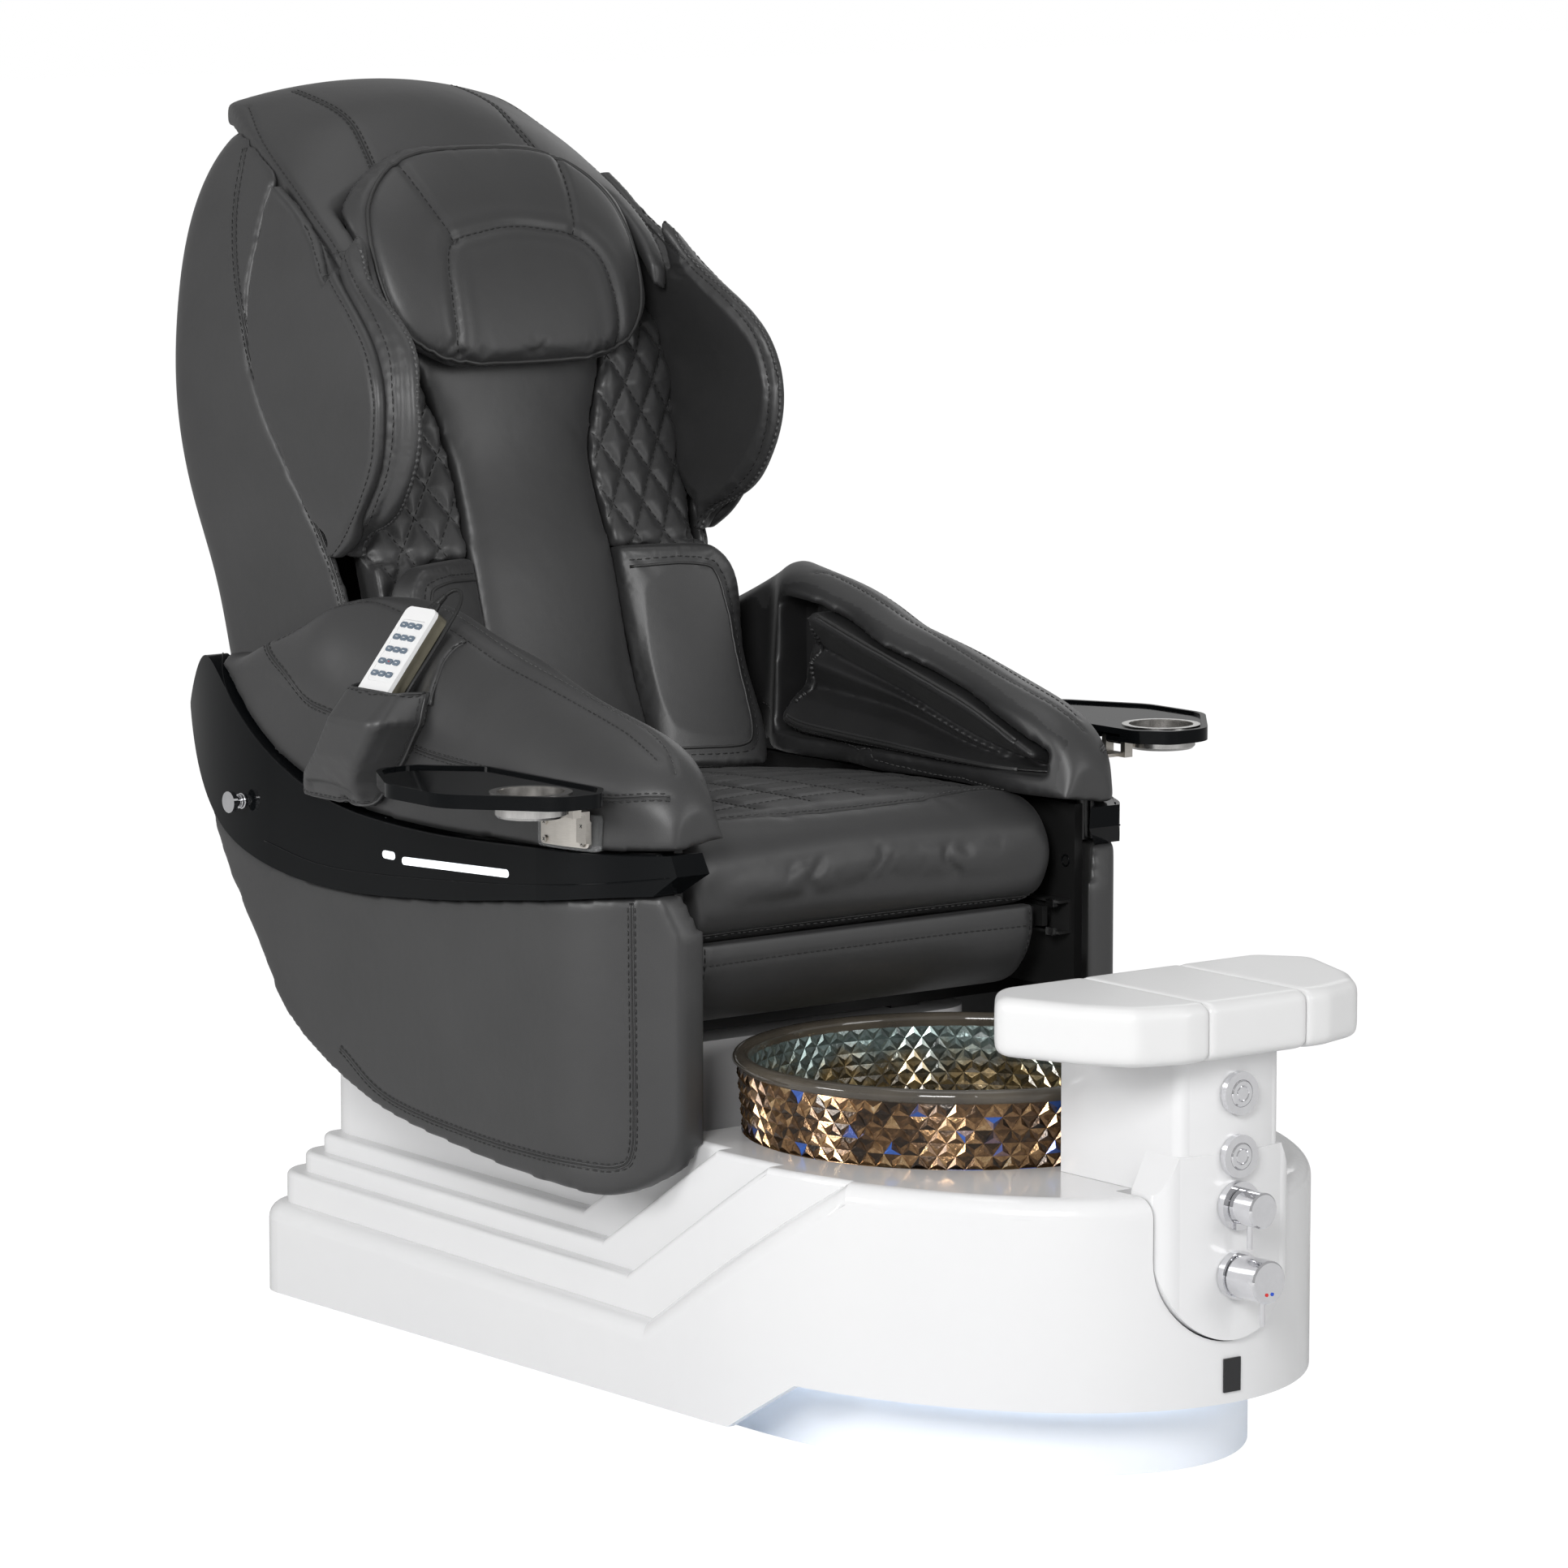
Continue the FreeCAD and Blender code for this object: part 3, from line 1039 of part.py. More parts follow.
tube, spread = float(s.tube) / 2, float(s.frame_spread)
tube_run = float(s.frame_length)
pivot = point(0, s.pivot_y, s.pivot_height)
frame_solid = rod(along(-spread, 0, 0), along(-spread, 0, tube_run), tube)
tubes = [rod(along(spread, 0, 0), along(spread, 0, tube_run), tube),
         rod(along(-238, 0, 20), along(238, 0, 20), tube - 2),
         rod(along(-spread - 3, 0, 66), along(spread + 3, 0, 66), tube - 2),
         rod(along(-spread - 3, 0, tube_run - 25), along(spread + 3, 0, tube_run - 25), tube - 2)]
rack_rear, rack_front = float(s.rack_offset) + float(s.rack_depth), float(s.rack_offset)
half_rack = float(s.rack_width) / 2
for side_of in (-1, 1):
    middle = side_of * float(s.rack_spread)
    rack = [block(middle - half_rack, rack_front, 50, middle + half_rack, rack_rear, tube_run - 15)]
    rack += [block(middle - half_rack, 0, w - 10, middle + half_rack, rack_front + 1, w + 10)
             for w in (66, tube_run - 25)]
    tubes += [leaning(piece) for piece in rack]
    outer = side_of * 244
    inner = side_of * 232
    foot = prism(rounded([pivot + Vector(min(outer, inner), y, z) for y, z in
                          ((-20, -20), (100, -8), (100, 46), (40, 46), (-20, 20))], 8), 12, 0, 0)
    tubes.append(foot)
    tubes.append(rod(along(side_of * spread, 0, tube_run - 9), point(side_of * 60, 725, 1308), 6))
crank_eye = point(0, s.pivot_y, crank_height)
crank_corners = [crank_eye + Vector(-8, y, -22) for y in (-20, 20)]
crank_corners += [pivot + Vector(-8, y, z) for y, z in ((36, -30), (96, 2), (96, 40), (55, 40), (-15, -20))]
crank = prism(rounded(crank_corners, [6, 6, 14, 12, 8, 8, 20]), 16, 0, 0)
tubes.append(crank)
head_slope = Vector(0, 0.51, 1).normalize()
head_low, across = point(-70, 682.2, 1240), Vector(140, 0, 0)
head_plate = prism(polygon([head_low, head_low + across, head_low + across + head_slope * 110,
                            head_low + head_slope * 110]), 0, 5, -2.5)
tubes.append(head_plate)
frame_solid = frame_solid.fuse(tubes)
frame_solid = frame_solid.cut(rod(pivot + Vector(-300, 0, 0), pivot + Vector(300, 0, 0),
                                  float(s.pin_hinge) + 0.08))
slot_half = float(s.crank_pin) + 1.2
frame_solid = frame_solid.cut(block(-9, crank_eye.y - slot_half, crank_eye.z - 84,
                                    9, crank_eye.y + slot_half, crank_eye.z + 12))
feature("back_frame", frame_solid)

# Massage carriage between the racks, with its pinion shaft

carriage_low = float(s.carriage_low)
plate_front, plate_rear = rack_front - 20, rack_front - 0.5
body_block = block(-112, plate_front, 0, 112, plate_rear, 90)
cheeks = [block(x - 4, plate_front, 0, x + 4, rack_rear + 34, 90) for x in (-108, 108)]
nubs = []
for x in (-45, 45):
    for w in (18, 72):
        nubs.append(Part.makeCylinder(18, 26, point(x - 13, plate_front - 1, w), Vector(1, 0, 0)))
carriage = body_block.fuse(cheeks + nubs)
pinion, shaft_v, shaft_w = float(s.pinion_radius), rack_rear + float(s.pinion_radius) + 0.3, 45
carriage = carriage.cut(Part.makeCylinder(6.1, 300, point(-150, shaft_v, shaft_w), Vector(1, 0, 0)))
shift = Vector(0, 0, carriage_low)
feature("massage_carriage", leaning(carriage.translated(shift)))
shaft = Part.makeCylinder(6, 228, point(-114, shaft_v, shaft_w), Vector(1, 0, 0))
wheels = [Part.makeCylinder(pinion, 20, point(side_of * float(s.rack_spread) - 10, shaft_v, shaft_w),
                            Vector(1, 0, 0)) for side_of in (-1, 1)]
feature("pinion_shaft", leaning(shaft.fuse(wheels).translated(shift)))

# Back: front line of the centre pad, then shell, pads, flaps, wings, leaves, hood and pillow


def between(table, z):
    """Value between the rows of (z, value) pairs."""
    for (low, first), (high, second) in zip(table, table[1:]):
        if z <= high:
            break
    return first + (second - first) * (z - low) / (high - low)


pad_line = [(650, 475), (743, 518), (829, 548), (915, 574), (964, 592), (1040, 619), (1143, 638), (1200, 666),
            (1250, 692)]
half_line = [(600, 248), (700, 272), (800, 281), (900, 283), (950, 290), (1000, 298), (1080, 302),
             (1125, 302), (1200, 290), (1276, 272), (1345, 250), (1420, 220), (1460, 190)]
front_line = [(600, 570), (700, 575), (800, 590), (921, 620), (1098, 748), (1195, 800), (1342, 815),
              (1460, 790)]


def pad_front(z):
    return between(pad_line, z)


def shell_section(z, rear, corner, grow):
    half, rear = between(half_line, z) + grow, rear + grow
    front = between(front_line, z) - (40 if grow else 0)
    bend = corner * (1 - math.sqrt(0.5))
    bow = 8
    left, right = point(-half + corner, rear - bow, z), point(half - corner, rear - bow, z)
    return Part.Wire([
        line(point(half, front, z), point(half, rear - bow - corner, z)),
        arc(point(half, rear - bow - corner, z), point(half - bend, rear - bow - bend, z), right),
        arc(right, point(0, rear, z), left),
        arc(left, point(-half + bend, rear - bow - bend, z), point(-half, rear - bow - corner, z)),
        line(point(-half, rear - bow - corner, z), point(-half, front, z)),
        line(point(-half, front, z), point(half, front, z)),
    ])


shell_rows = [(612, 765, 50), (700, 855, 55), (792, 905, 60), (876, 930, 60), (971, 962, 62), (1109, 988, 64),
              (1209, 1004, 64), (1290, 1012, 62), (1371, 1002, 60), (1420, 968, 60), (1444, 938, 60)]
shell_wall = float(s.shell_wall)
shell_out = loft([shell_section(z, rear, corner, 0) for z, rear, corner in shell_rows])
inner_rows = [(600, 750, 46)] + shell_rows[1:-1] + [(1444 - shell_wall, 952, 60)]
shell_in = loft([shell_section(z, rear, corner - 6, -shell_wall) for z, rear, corner in inner_rows])
hood_rows = [  # y, half width, height of the side edge, height of the crest
    (640, 230, 1248, 1300), (690, 242, 1300, 1346), (755, 238, 1346, 1393), (832, 228, 1390, 1456),
    (900, 217, 1425, 1475), (940, 206, 1445, 1479), (986, 188, 1452, 1474)]


def hood_loft(grow, depth, height=0.0):
    """Arch of the hood between depth below and height above its own top face."""
    rings = []
    for y, half, edge, crest in hood_rows:
        if y == hood_rows[-1][0]:
            y += grow
        half += grow
        a, b, c = point(-half, y, edge), point(0, y, crest), point(half, y, edge)
        low, high = Vector(0, 0, depth), Vector(0, 0, height)
        rings.append(Part.Wire([arc(a + high, b + high, c + high), line(c + high, c - low),
                                arc(c - low, b - low, a - low), line(a - low, a + high)]))
    return loft(rings)


hood_thick = float(s.hood_thick)
hood = hood_loft(0, hood_thick)
pillow_zone = prism(polygon([point(-209, 600, 1143 + (600.6 - 633) / 0.51),
                             point(-209, 900, 1143 + (899.4 - 633) / 0.51),
                             point(-209, 500, 1700), point(-209, 500, 1000)]), 418, 0, 0)
feature("hood", hood.cut(pillow_zone))
hood_space = hood_loft(gap, hood_thick + gap, 120)
edge_line = [point(-400, y, edge - 3) for y, half, edge, crest in hood_rows]
edge_line[-1] = point(-400, 1100, 1452)
over_edge = polygon(edge_line + [point(-400, 1100, 1600), point(-400, 640, 1600)])
hood_space = hood_space.fuse(prism(over_edge, 800, 0, 0))
feature("back_shell", shell_out.cut(shell_in).cut(hood_space))


def pad_section(z, half, deep):
    front = pad_front(z)
    a, b = point(-half, front + 12, z), point(half, front + 12, z)
    c, d = point(half - 4, front + deep, z), point(-half + 4, front + deep, z)
    return Part.Wire([arc(a, point(0, front, z), b), line(b, c), line(c, d), line(d, a)])


pad_depth = float(s.pad_depth)
pad_rows = [(654, 106, 40), (680, 109, pad_depth - 8), (743, 109, pad_depth), (829, 109, pad_depth),
            (915, 109, pad_depth), (1040, 109, pad_depth), (1100, 126, pad_depth), (1143, 138, pad_depth),
            (1200, 140, pad_depth - 6), (1228, 136, 44)]
feature("back_pad", loft([pad_section(*row) for row in pad_rows]))

bolster_outer = float(s.bolster_outer)


def bolster_section(z, inner, outer, near, far, deep, grow=0.0):
    """Plan of one side pad: near and far are its front offsets at the inner and outer edge."""
    front = pad_front(z)
    a, b = point(inner, front + near - grow, z), point(outer + grow, front + far - grow, z)
    middle = (a + b) / 2 + Vector(0, -6, 0)
    return Part.Wire([arc(a, middle, b), line(b, point(outer - 12 + grow, front + deep, z)),
                      line(point(outer - 12 + grow, front + deep, z), point(inner, front + deep, z)),
                      line(point(inner, front + deep, z), a)])


def bolster_upper(grow):
    rows = [(915, 109.5, 250, 72), (964, 109.5, 252, 72), (1040, 110.5, 256, 72), (1100, 128.5, 258, 71),
            (1143, 141, 254, 70), (1200, 143, 244, 63), (1246, 139, 226, 54)]
    return loft([bolster_section(z, inner, outer, 10, 34, deep, grow) for z, inner, outer, deep in rows])


bolster = bolster_upper(0).fuse(loft([bolster_section(z, 109.5, outer, 42, 8, 72) for z, outer in
                                      ((664, 226), (743, 240), (829, 248), (915, 250))]))
feature("back_bolsters", Part.Compound([bolster, flip(bolster)]))


def flap_section(z, outer, thick):
    front = pad_front(z)
    a, b = point(110.4, front + 3, z), point(outer, front - 50, z)
    c, d = point(outer + 8, front - 50 + thick, z), point(110.4, front + thick, z)
    middle = (a + b) / 2 + Vector(0, -7, 0)
    return Part.Wire([arc(a, middle, b), line(b, c), line(c, d), line(d, a)])


flap_thick = float(s.flap_thick)
flap = loft([flap_section(z, outer, thick) for z, outer, thick in
             ((654, 226, 24), (680, 236, flap_thick - 1), (743, 240, flap_thick), (829, 242, flap_thick),
              (890, 240, flap_thick), (914.7, 214, 26))])
feature("lumbar_flaps", Part.Compound([flap, flip(flap)]))

wing_rows = [  # height, front of the panel, of the leaf and of the inner pad, rear seam
    (926, 612, 606, 598, 640), (973, 558, 548, 530, 662), (1012, 526, 512, 487, 690),
    (1050, 505, 490, 466, 716), (1092, 497, 480, 457, 745), (1130, 499, 482, 461, 764),
    (1177, 525, 500, 478, 788), (1220, 573, 545, 528, 800), (1270, 640, 612, 606, 806),
    (1330, 700, 684, 680, 812), (1390, 755, 742, 738, 806)]


def wing_layer(outer, thick, column, rear_inset):
    """One layer of the wing between two depths under the side face of the shell."""
    rings = []
    for row in wing_rows:
        z, front, rear = row[0], row[column], row[4] - rear_inset
        half = between(half_line, z) - outer
        nose = thick * 0.45
        a, b = point(half, rear, z), point(half, front + nose, z)
        c, d = point(half - thick, front + nose, z), point(half - thick, rear, z)
        nose_arc = arc(b, point(half - thick / 2, front, z), c)
        rings.append(Part.Wire([line(a, b), nose_arc, line(c, d), line(d, a)]))
    return loft(rings)


behind = loft([polygon([point(-450, between(front_line, z) - 0.6, z),
                        point(450, between(front_line, z) - 0.6, z),
                        point(450, 1200, z), point(-450, 1200, z)]) for z, rear, corner in shell_rows])
wing = wing_layer(-2, 16, 1, 0.5).cut(hood_space).cut(behind)
wing = max(wing.Solids, key=lambda solid: solid.Volume)
feature("wing_left", wing)
feature("wing_right", flip(wing))

pad_space = bolster_upper(gap).fuse(bolster)
leaves = []
for layer in (wing_layer(15.2, 8, 2, 24), wing_layer(23.8, 17.4, 3, 24)):
    leaf = layer.cut(hood_space).cut(pad_space).cut(shell_out)
    leaf = leaf.cut(wing.translated(point(-gap, 0, 0))).cut(wing)
    leaves.append(max(leaf.Solids, key=lambda solid: solid.Volume))
feature("shoulder_airbags", Part.Compound(leaves + [flip(leaf) for leaf in leaves]))


def pillow_section(x, low, high, front, thick):
    """Side outline of the pillow at one x: flat back on the head plate, crowned front."""
    def on_back(z, out):
        return point(x, 632.4 + (z - 1143) * 0.51 - out, z)
    b, c = on_back(low, 0.0), on_back(high, 0.0)
    a, d = on_back(low - 6, thick), on_back(high - 14, thick)
    middle = (a + d) / 2 + Vector(0, -1, 0.51).normalize() * front
    return Part.Wire([arc(a, middle, d), line(d, c), line(c, b), line(b, a)])


pillow_rows = [(207, 1222, 1330, 6, 16), (188, 1194, 1356, 14, 26), (150, 1166, 1384, 22, 32),
               (100, 1150, 1404, 26, 36), (40, 1146, 1410, 27, 37)]
pillow_rows = [(-x, *rest) for x, *rest in pillow_rows] + pillow_rows[::-1]
feature("pillow", loft([pillow_section(*row) for row in pillow_rows]))

# Handset on the right arm with its pocket; drawn on the left side, then mirrored

slope = math.radians(float(s.handset_slope))
up_slope = Vector(-math.sin(slope), 0, math.cos(slope))
out_slope = Vector(math.cos(slope), 0, math.sin(slope))
rearward = Vector(0, 1, 0)
handset_top = point(s.handset_x, s.handset_y, s.handset_z)
half_w, half_t = float(s.handset_width) / 2, float(s.handset_thick) / 2


def on_handset(down, across, out):
    return handset_top - up_slope * down + rearward * across + out_slope * out


def handset_box(down0, down1, across0, across1, out0, out1, corner=0.0):
    spots = [on_handset(d, a, out0) for d, a in ((down0, across0), (down0, across1), (down1, across1),
                                                 (down1, across0))]
    solid = Part.Face(rounded(spots, corner)).extrude(out_slope * (out1 - out0))
    return solid


handset_length = float(s.handset_length)
handset = handset_box(0, handset_length, -half_w, half_w, -half_t, half_t, 9)
relief_foot = on_handset(0.5, float(s.cord_across), 0)
relief = Part.makeCone(5.5, float(s.cord_radius) + 1.2, 16, relief_foot, up_slope)
key_well = handset_box(18, 104, -half_w + 7, half_w - 7, half_t - 2.2, half_t + 1, 5)
handset_solid = handset.fuse(relief).cut(key_well)
key_rows, key_columns = 5, 3
mat = handset_box(18.3, 103.7, -half_w + 7.3, half_w - 7.3, half_t - 1.2, half_t - 0.4, 4.7)
key_long, key_high = float(s.key_width) / 2, float(s.key_height) / 2
keys = []
for row in range(key_rows):
    for column in range(key_columns):
        middle_down = 26 + row * float(s.key_row)
        across = (column - 1) * float(s.key_pitch)
        keys.append(handset_box(middle_down - key_high, middle_down + key_high,
                                across - key_long, across + key_long,
                                half_t - 0.6, half_t + float(s.key_proud), key_high - 0.2))
feature("handset_body", flip(handset_solid))
feature("handset_keys", flip(mat.fuse(keys)))

pocket_rows = [  # height and inner x, then y and x of front edge, two shoulders and rear edge
    (803, 350, (292, 380), (300, 421), (392, 421), (418, 380)),
    (768, 372, (290, 392), (298, 450), (388, 450), (436, 392)),
    (722, 384, (322, 392), (338, 446), (432, 440), (470, 394)),
    (690, 388, (352, 394), (368, 432), (475, 428), (500, 397)),
    (664, 391, (372, 396), (380, 411), (505, 409), (516, 398))]


def pocket_section(row, wall_thick):
    """Level outline of the bag at one height, drawn in by the thickness of its wall."""
    z, inside, front, low, high, rear = row
    spots = [point(inside, front[0] + wall_thick, z), point(front[1], front[0] + wall_thick, z),
             point(low[1] - wall_thick, low[0] + wall_thick, z),
             point(high[1] - wall_thick, high[0] - wall_thick, z),
             point(rear[1], rear[0] - wall_thick, z), point(inside, rear[0] - wall_thick, z)]
    corner = 0.22 * (low[1] - front[1])
    return rounded(spots, [0, 2, corner, corner, 2, 0])


pocket_wall = float(s.pocket_wall)
pocket_out = loft([pocket_section(row, 0) for row in pocket_rows], True)
(top, *top_edge), (foot_row, *foot_edge) = pocket_rows[0], pocket_rows[-1]
cavity_rows = [(top + 6, *top_edge)] + pocket_rows[:-1] + [(foot_row + 6, *foot_edge)]
cavity = loft([pocket_section(row, pocket_wall) for row in cavity_rows], True)
pocket = pocket_out.cut(cavity.cut(arm.translated(point(gap + pocket_wall, 0, 0))))
for near in (arm, band):
    pocket = pocket.cut(near.translated(point(gap, 0, 0))).cut(near.translated(point(0, 0, gap))).cut(near)
pocket = max(pocket.Solids, key=lambda solid: solid.Volume)
feature("handset_pocket", flip(pocket))

# Cord: loop over the top of the handset, then down beside it into the pocket

route = [on_handset(-16.4, float(s.cord_across), 0), on_handset(-32, -14, 0), on_handset(-38, -30, -2),
         on_handset(-22, -44, -4), on_handset(16, -46, -4), on_handset(60, -46, -4), on_handset(104, -44, -4),
         point(404, 318, 772), point(401, 340, 745), point(393.5, 364, 728)]


def cord_wire(spots):
    """Straight runs joined by arcs that touch both runs; also returns the arc radii."""
    edges, radii, start = [], [], spots[0]
    for before, corner, after in zip(spots, spots[1:], spots[2:]):
        back, ahead = (before - corner), (after - corner)
        run = min(back.Length, ahead.Length)
        half = (math.pi - back.getAngle(ahead)) / 2
        back.normalize()
        ahead.normalize()
        tangent = 0.45 * run
        radius = tangent / math.tan(half)
        radii.append(radius)
        first, last = corner + back * tangent, corner + ahead * tangent
        middle = corner + (back + ahead).normalize() * (radius / math.cos(half) - radius)
        edges += [line(start, first), arc(first, middle, last)]
        start = last
    edges.append(line(start, spots[-1]))
    return Part.Wire(edges), radii


cord_path, cord_radii = cord_wire(route)
cord_radius = float(s.cord_radius)
section = Part.Wire([Part.makeCircle(cord_radius, route[0], route[1] - route[0])])
cord = cord_path.makePipeShell([section], True, False)
print("cord radii", [round(radius, 1) for radius in cord_radii], "length", round(cord_path.Length, 1))
print("cord volume ratio", round(cord.Volume / (cord_path.Length * math.pi * cord_radius ** 2), 4))
feature("handset_cord", flip(cord))

# Check every piece, then write one file per piece

doc.recompute()
for obj in doc.Objects:
    if any(word in obj.State for word in ("Invalid", "Error")):
        raise ValueError("%s does not compute: %s" % (obj.Label, obj.State))
for label, obj in parts.items():
    if obj.Shape.isNull() or not obj.Shape.isValid():
        raise ValueError("%s has no valid shape" % label)
os.makedirs("parts", exist_ok=True)
for label, obj in parts.items():
    obj.Shape.exportStep("parts/%s.step" % label)
print("%d pieces written" % len(parts))
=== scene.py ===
# Pedicure spa chair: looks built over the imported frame
import json
import math

import bpy
import numpy as np
from mathutils import Matrix, Vector
from mathutils.bvhtree import BVHTree

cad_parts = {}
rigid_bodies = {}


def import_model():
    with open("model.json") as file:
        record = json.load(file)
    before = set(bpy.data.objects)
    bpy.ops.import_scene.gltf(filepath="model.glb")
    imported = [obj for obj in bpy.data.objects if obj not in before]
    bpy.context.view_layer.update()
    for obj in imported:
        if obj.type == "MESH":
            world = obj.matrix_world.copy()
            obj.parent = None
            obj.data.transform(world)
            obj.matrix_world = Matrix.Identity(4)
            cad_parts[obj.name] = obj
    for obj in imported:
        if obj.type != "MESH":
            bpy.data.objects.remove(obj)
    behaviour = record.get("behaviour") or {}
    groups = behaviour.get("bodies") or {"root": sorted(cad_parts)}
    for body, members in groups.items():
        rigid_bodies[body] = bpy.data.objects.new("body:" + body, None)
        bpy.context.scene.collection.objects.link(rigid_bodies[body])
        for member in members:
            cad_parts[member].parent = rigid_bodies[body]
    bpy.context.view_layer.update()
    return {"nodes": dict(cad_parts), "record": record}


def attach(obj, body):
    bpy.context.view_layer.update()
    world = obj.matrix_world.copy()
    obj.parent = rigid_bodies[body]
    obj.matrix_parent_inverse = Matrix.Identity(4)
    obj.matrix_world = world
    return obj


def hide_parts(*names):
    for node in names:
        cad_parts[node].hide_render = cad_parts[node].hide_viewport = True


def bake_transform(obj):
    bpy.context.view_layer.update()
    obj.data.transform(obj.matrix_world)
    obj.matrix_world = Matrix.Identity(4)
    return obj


for old in list(bpy.data.objects):
    bpy.data.objects.remove(old)
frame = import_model()
nodes = frame["nodes"]
scene = bpy.context.scene
bodyOf = {node: body for body, names in frame["record"]["behaviour"]["bodies"].items() for node in names}
slotOf = {part["node"]: part["material_slot"] for part in frame["record"]["subparts"]}
print("stage: frame loaded,", len(nodes), "nodes")

# camera on the place that the photo was taken from
cameraSet = {"place": (-5.1218, -6.4992, 1.8758), "pitch": 8.1212, "yaw": 37.8052, "lens": 164.72}
lensData = bpy.data.cameras.new("photoCamera")
lensData.lens, lensData.sensor_width, lensData.clip_end = cameraSet["lens"], 36, 100
camera = bpy.data.objects.new("photoCamera", lensData)
camera.location = cameraSet["place"]
camera.rotation_euler = (math.radians(90 - cameraSet["pitch"]), 0, -math.radians(cameraSet["yaw"]))
scene.collection.objects.link(camera)
scene.camera = camera


class Link:  # one output socket, with sums written as Python expressions
    def __init__(self, shader, out):
        self.shader, self.out = shader, out

    def calc(self, operation, *others):
        return self.shader.node("ShaderNodeMath", {"operation": operation}, dict(enumerate((self,) + others)))

    def __add__(self, other):
        return self.calc("ADD", other)

    def __mul__(self, other):
        return self.calc("MULTIPLY", other)

    def __sub__(self, other):
        return self.calc("SUBTRACT", other)

    def __gt__(self, other):
        return self.calc("GREATER_THAN", other)

    def __rsub__(self, other):
        return self.shader.node("ShaderNodeMath", {"operation": "SUBTRACT"}, {0: other, 1: self})

    __radd__, __rmul__ = __add__, __mul__


class Graph:  # a node tree and the one way of adding nodes to it
    def __init__(self, tree):
        self.tree = tree
        tree.nodes.clear()

    def node(self, kind, settings=None, inputs=None, output=0):
        made = self.tree.nodes.new(kind)
        for key, value in (settings or {}).items():
            if key == "stops":
                ramp = made.color_ramp
                for place, colour in value[2:]:
                    ramp.elements.new(place)
                for stop, (place, colour) in zip(ramp.elements, sorted(value)):
                    stop.position, stop.color = place, colour
            else:
                setattr(made, key, value)
        for key, value in (inputs or {}).items():
            self.join(value, made.inputs[key])
        return Link(self, made.outputs[output]) if made.outputs else None

    def join(self, value, socket):
        if isinstance(value, Link):
            self.tree.links.new(value.out, socket)
        else:
            socket.default_value = value

    def direct(self):  # 1 for what the camera sees, straight or through glass
        ways = [self.node("ShaderNodeLightPath", None, None, "Is %s Ray" % way)
                for way in ("Camera", "Transmission")]
        return ways[0].calc("MAXIMUM", ways[1])


class Shader(Graph):  # a Principled material
    def __init__(self, name, fixed):
        self.material = bpy.data.materials.new(name)
        self.material.use_nodes = True
        super().__init__(self.material.node_tree)
        surface = self.node("ShaderNodeBsdfPrincipled", None, fixed)
        self.face = surface.out.node
        self.node("ShaderNodeOutputMaterial", None, {"Surface": surface})

    def feed(self, socket, value):
        self.join(value, self.face.inputs[socket])

    def place(self):
        return self.node("ShaderNodeTexCoord", None, None, "Object")

    def noise(self, scale, detail=3, rough=0.55, vector=None):
        return self.node("ShaderNodeTexNoise", None, {"Vector": vector or self.place(), "Scale": scale,
                                                      "Detail": detail, "Roughness": rough}, "Fac")

    def stretched(self, scale):
        return self.node("ShaderNodeMapping", None, {"Vector": self.place(), "Scale": scale})

    def blend(self, mask, dark, light):
        return self.node("ShaderNodeMix", {"data_type": "RGBA"}, {0: mask, 6: dark, 7: light}, 2)

    def bump(self, height, distance, strength=1.0):
        self.feed("Normal", self.node("ShaderNodeBump", None, {"Height": height, "Distance": distance,
                                                               "Strength": strength}))


def rgb(r, g=None, b=None):
    return (r, r if g is None else g, r if b is None else b, 1.0)


def leather(name, dark, light, rough=0.4, grain=1.0, waves=7.0):
    hide = Shader(name, {"Specular IOR Level": 0.6, "Sheen Weight": 0.03, "Sheen Roughness": 0.4})
    cloudy = hide.noise(7.0, 4)
    pores = hide.node("ShaderNodeTexVoronoi", {"feature": "DISTANCE_TO_EDGE"},
                      {"Vector": hide.place(), "Scale": 620.0}, "Distance")
    fine = hide.noise(1500.0, 2)
    hide.feed("Base Color", hide.blend(cloudy * 0.7 + pores * 0.5, dark, light))
    hide.feed("Roughness", rough - 0.08 * pores + 0.1 * cloudy)
    hide.bump(pores * 0.7 + fine * 0.3 + hide.noise(16.0, 3) * waves, 0.00022 * grain, 0.55)
    return hide.material


def moulded(name, dark, light, rough, specular=0.5, coat=0.0, grainScale=300.0, grain=0.00004):
    skin = Shader(name, {"Specular IOR Level": specular, "Coat Roughness": 0.05, "IOR": 1.47})
    skin.feed("Base Color", skin.blend(skin.noise(4.0, 4), dark, light))
    skin.feed("Roughness", rough + 0.06 * skin.noise(35.0, 3))
    skin.feed("Coat Weight", coat + 0.05 * skin.noise(9.0, 2))
    skin.bump(skin.noise(grainScale, 2), grain, 0.4)
    return skin.material


def metal(name, dark, light, rough, streak=(1, 1, 1), scale=90.0, depth=0.00003):
    plate = Shader(name, {"Metallic": 1.0})
    lines = plate.noise(scale, 4, 0.6, plate.stretched(streak))
    plate.feed("Base Color", plate.blend(lines, dark, light))
    plate.feed("Roughness", rough + 0.12 * lines * rough * 4)
    plate.bump(lines, depth, 0.3)
    return plate.material


def glowing(name, colour, strength, base):
    lamp = Shader(name, {"Roughness": 0.4, "Emission Strength": strength})
    haze = lamp.noise(11.0, 3)
    lamp.feed("Base Color", lamp.blend(haze, base, rgb(0.9)))
    lamp.feed("Emission Color", lamp.blend(haze, colour, rgb(0.8, 0.92, 1.0)))
    return lamp.material


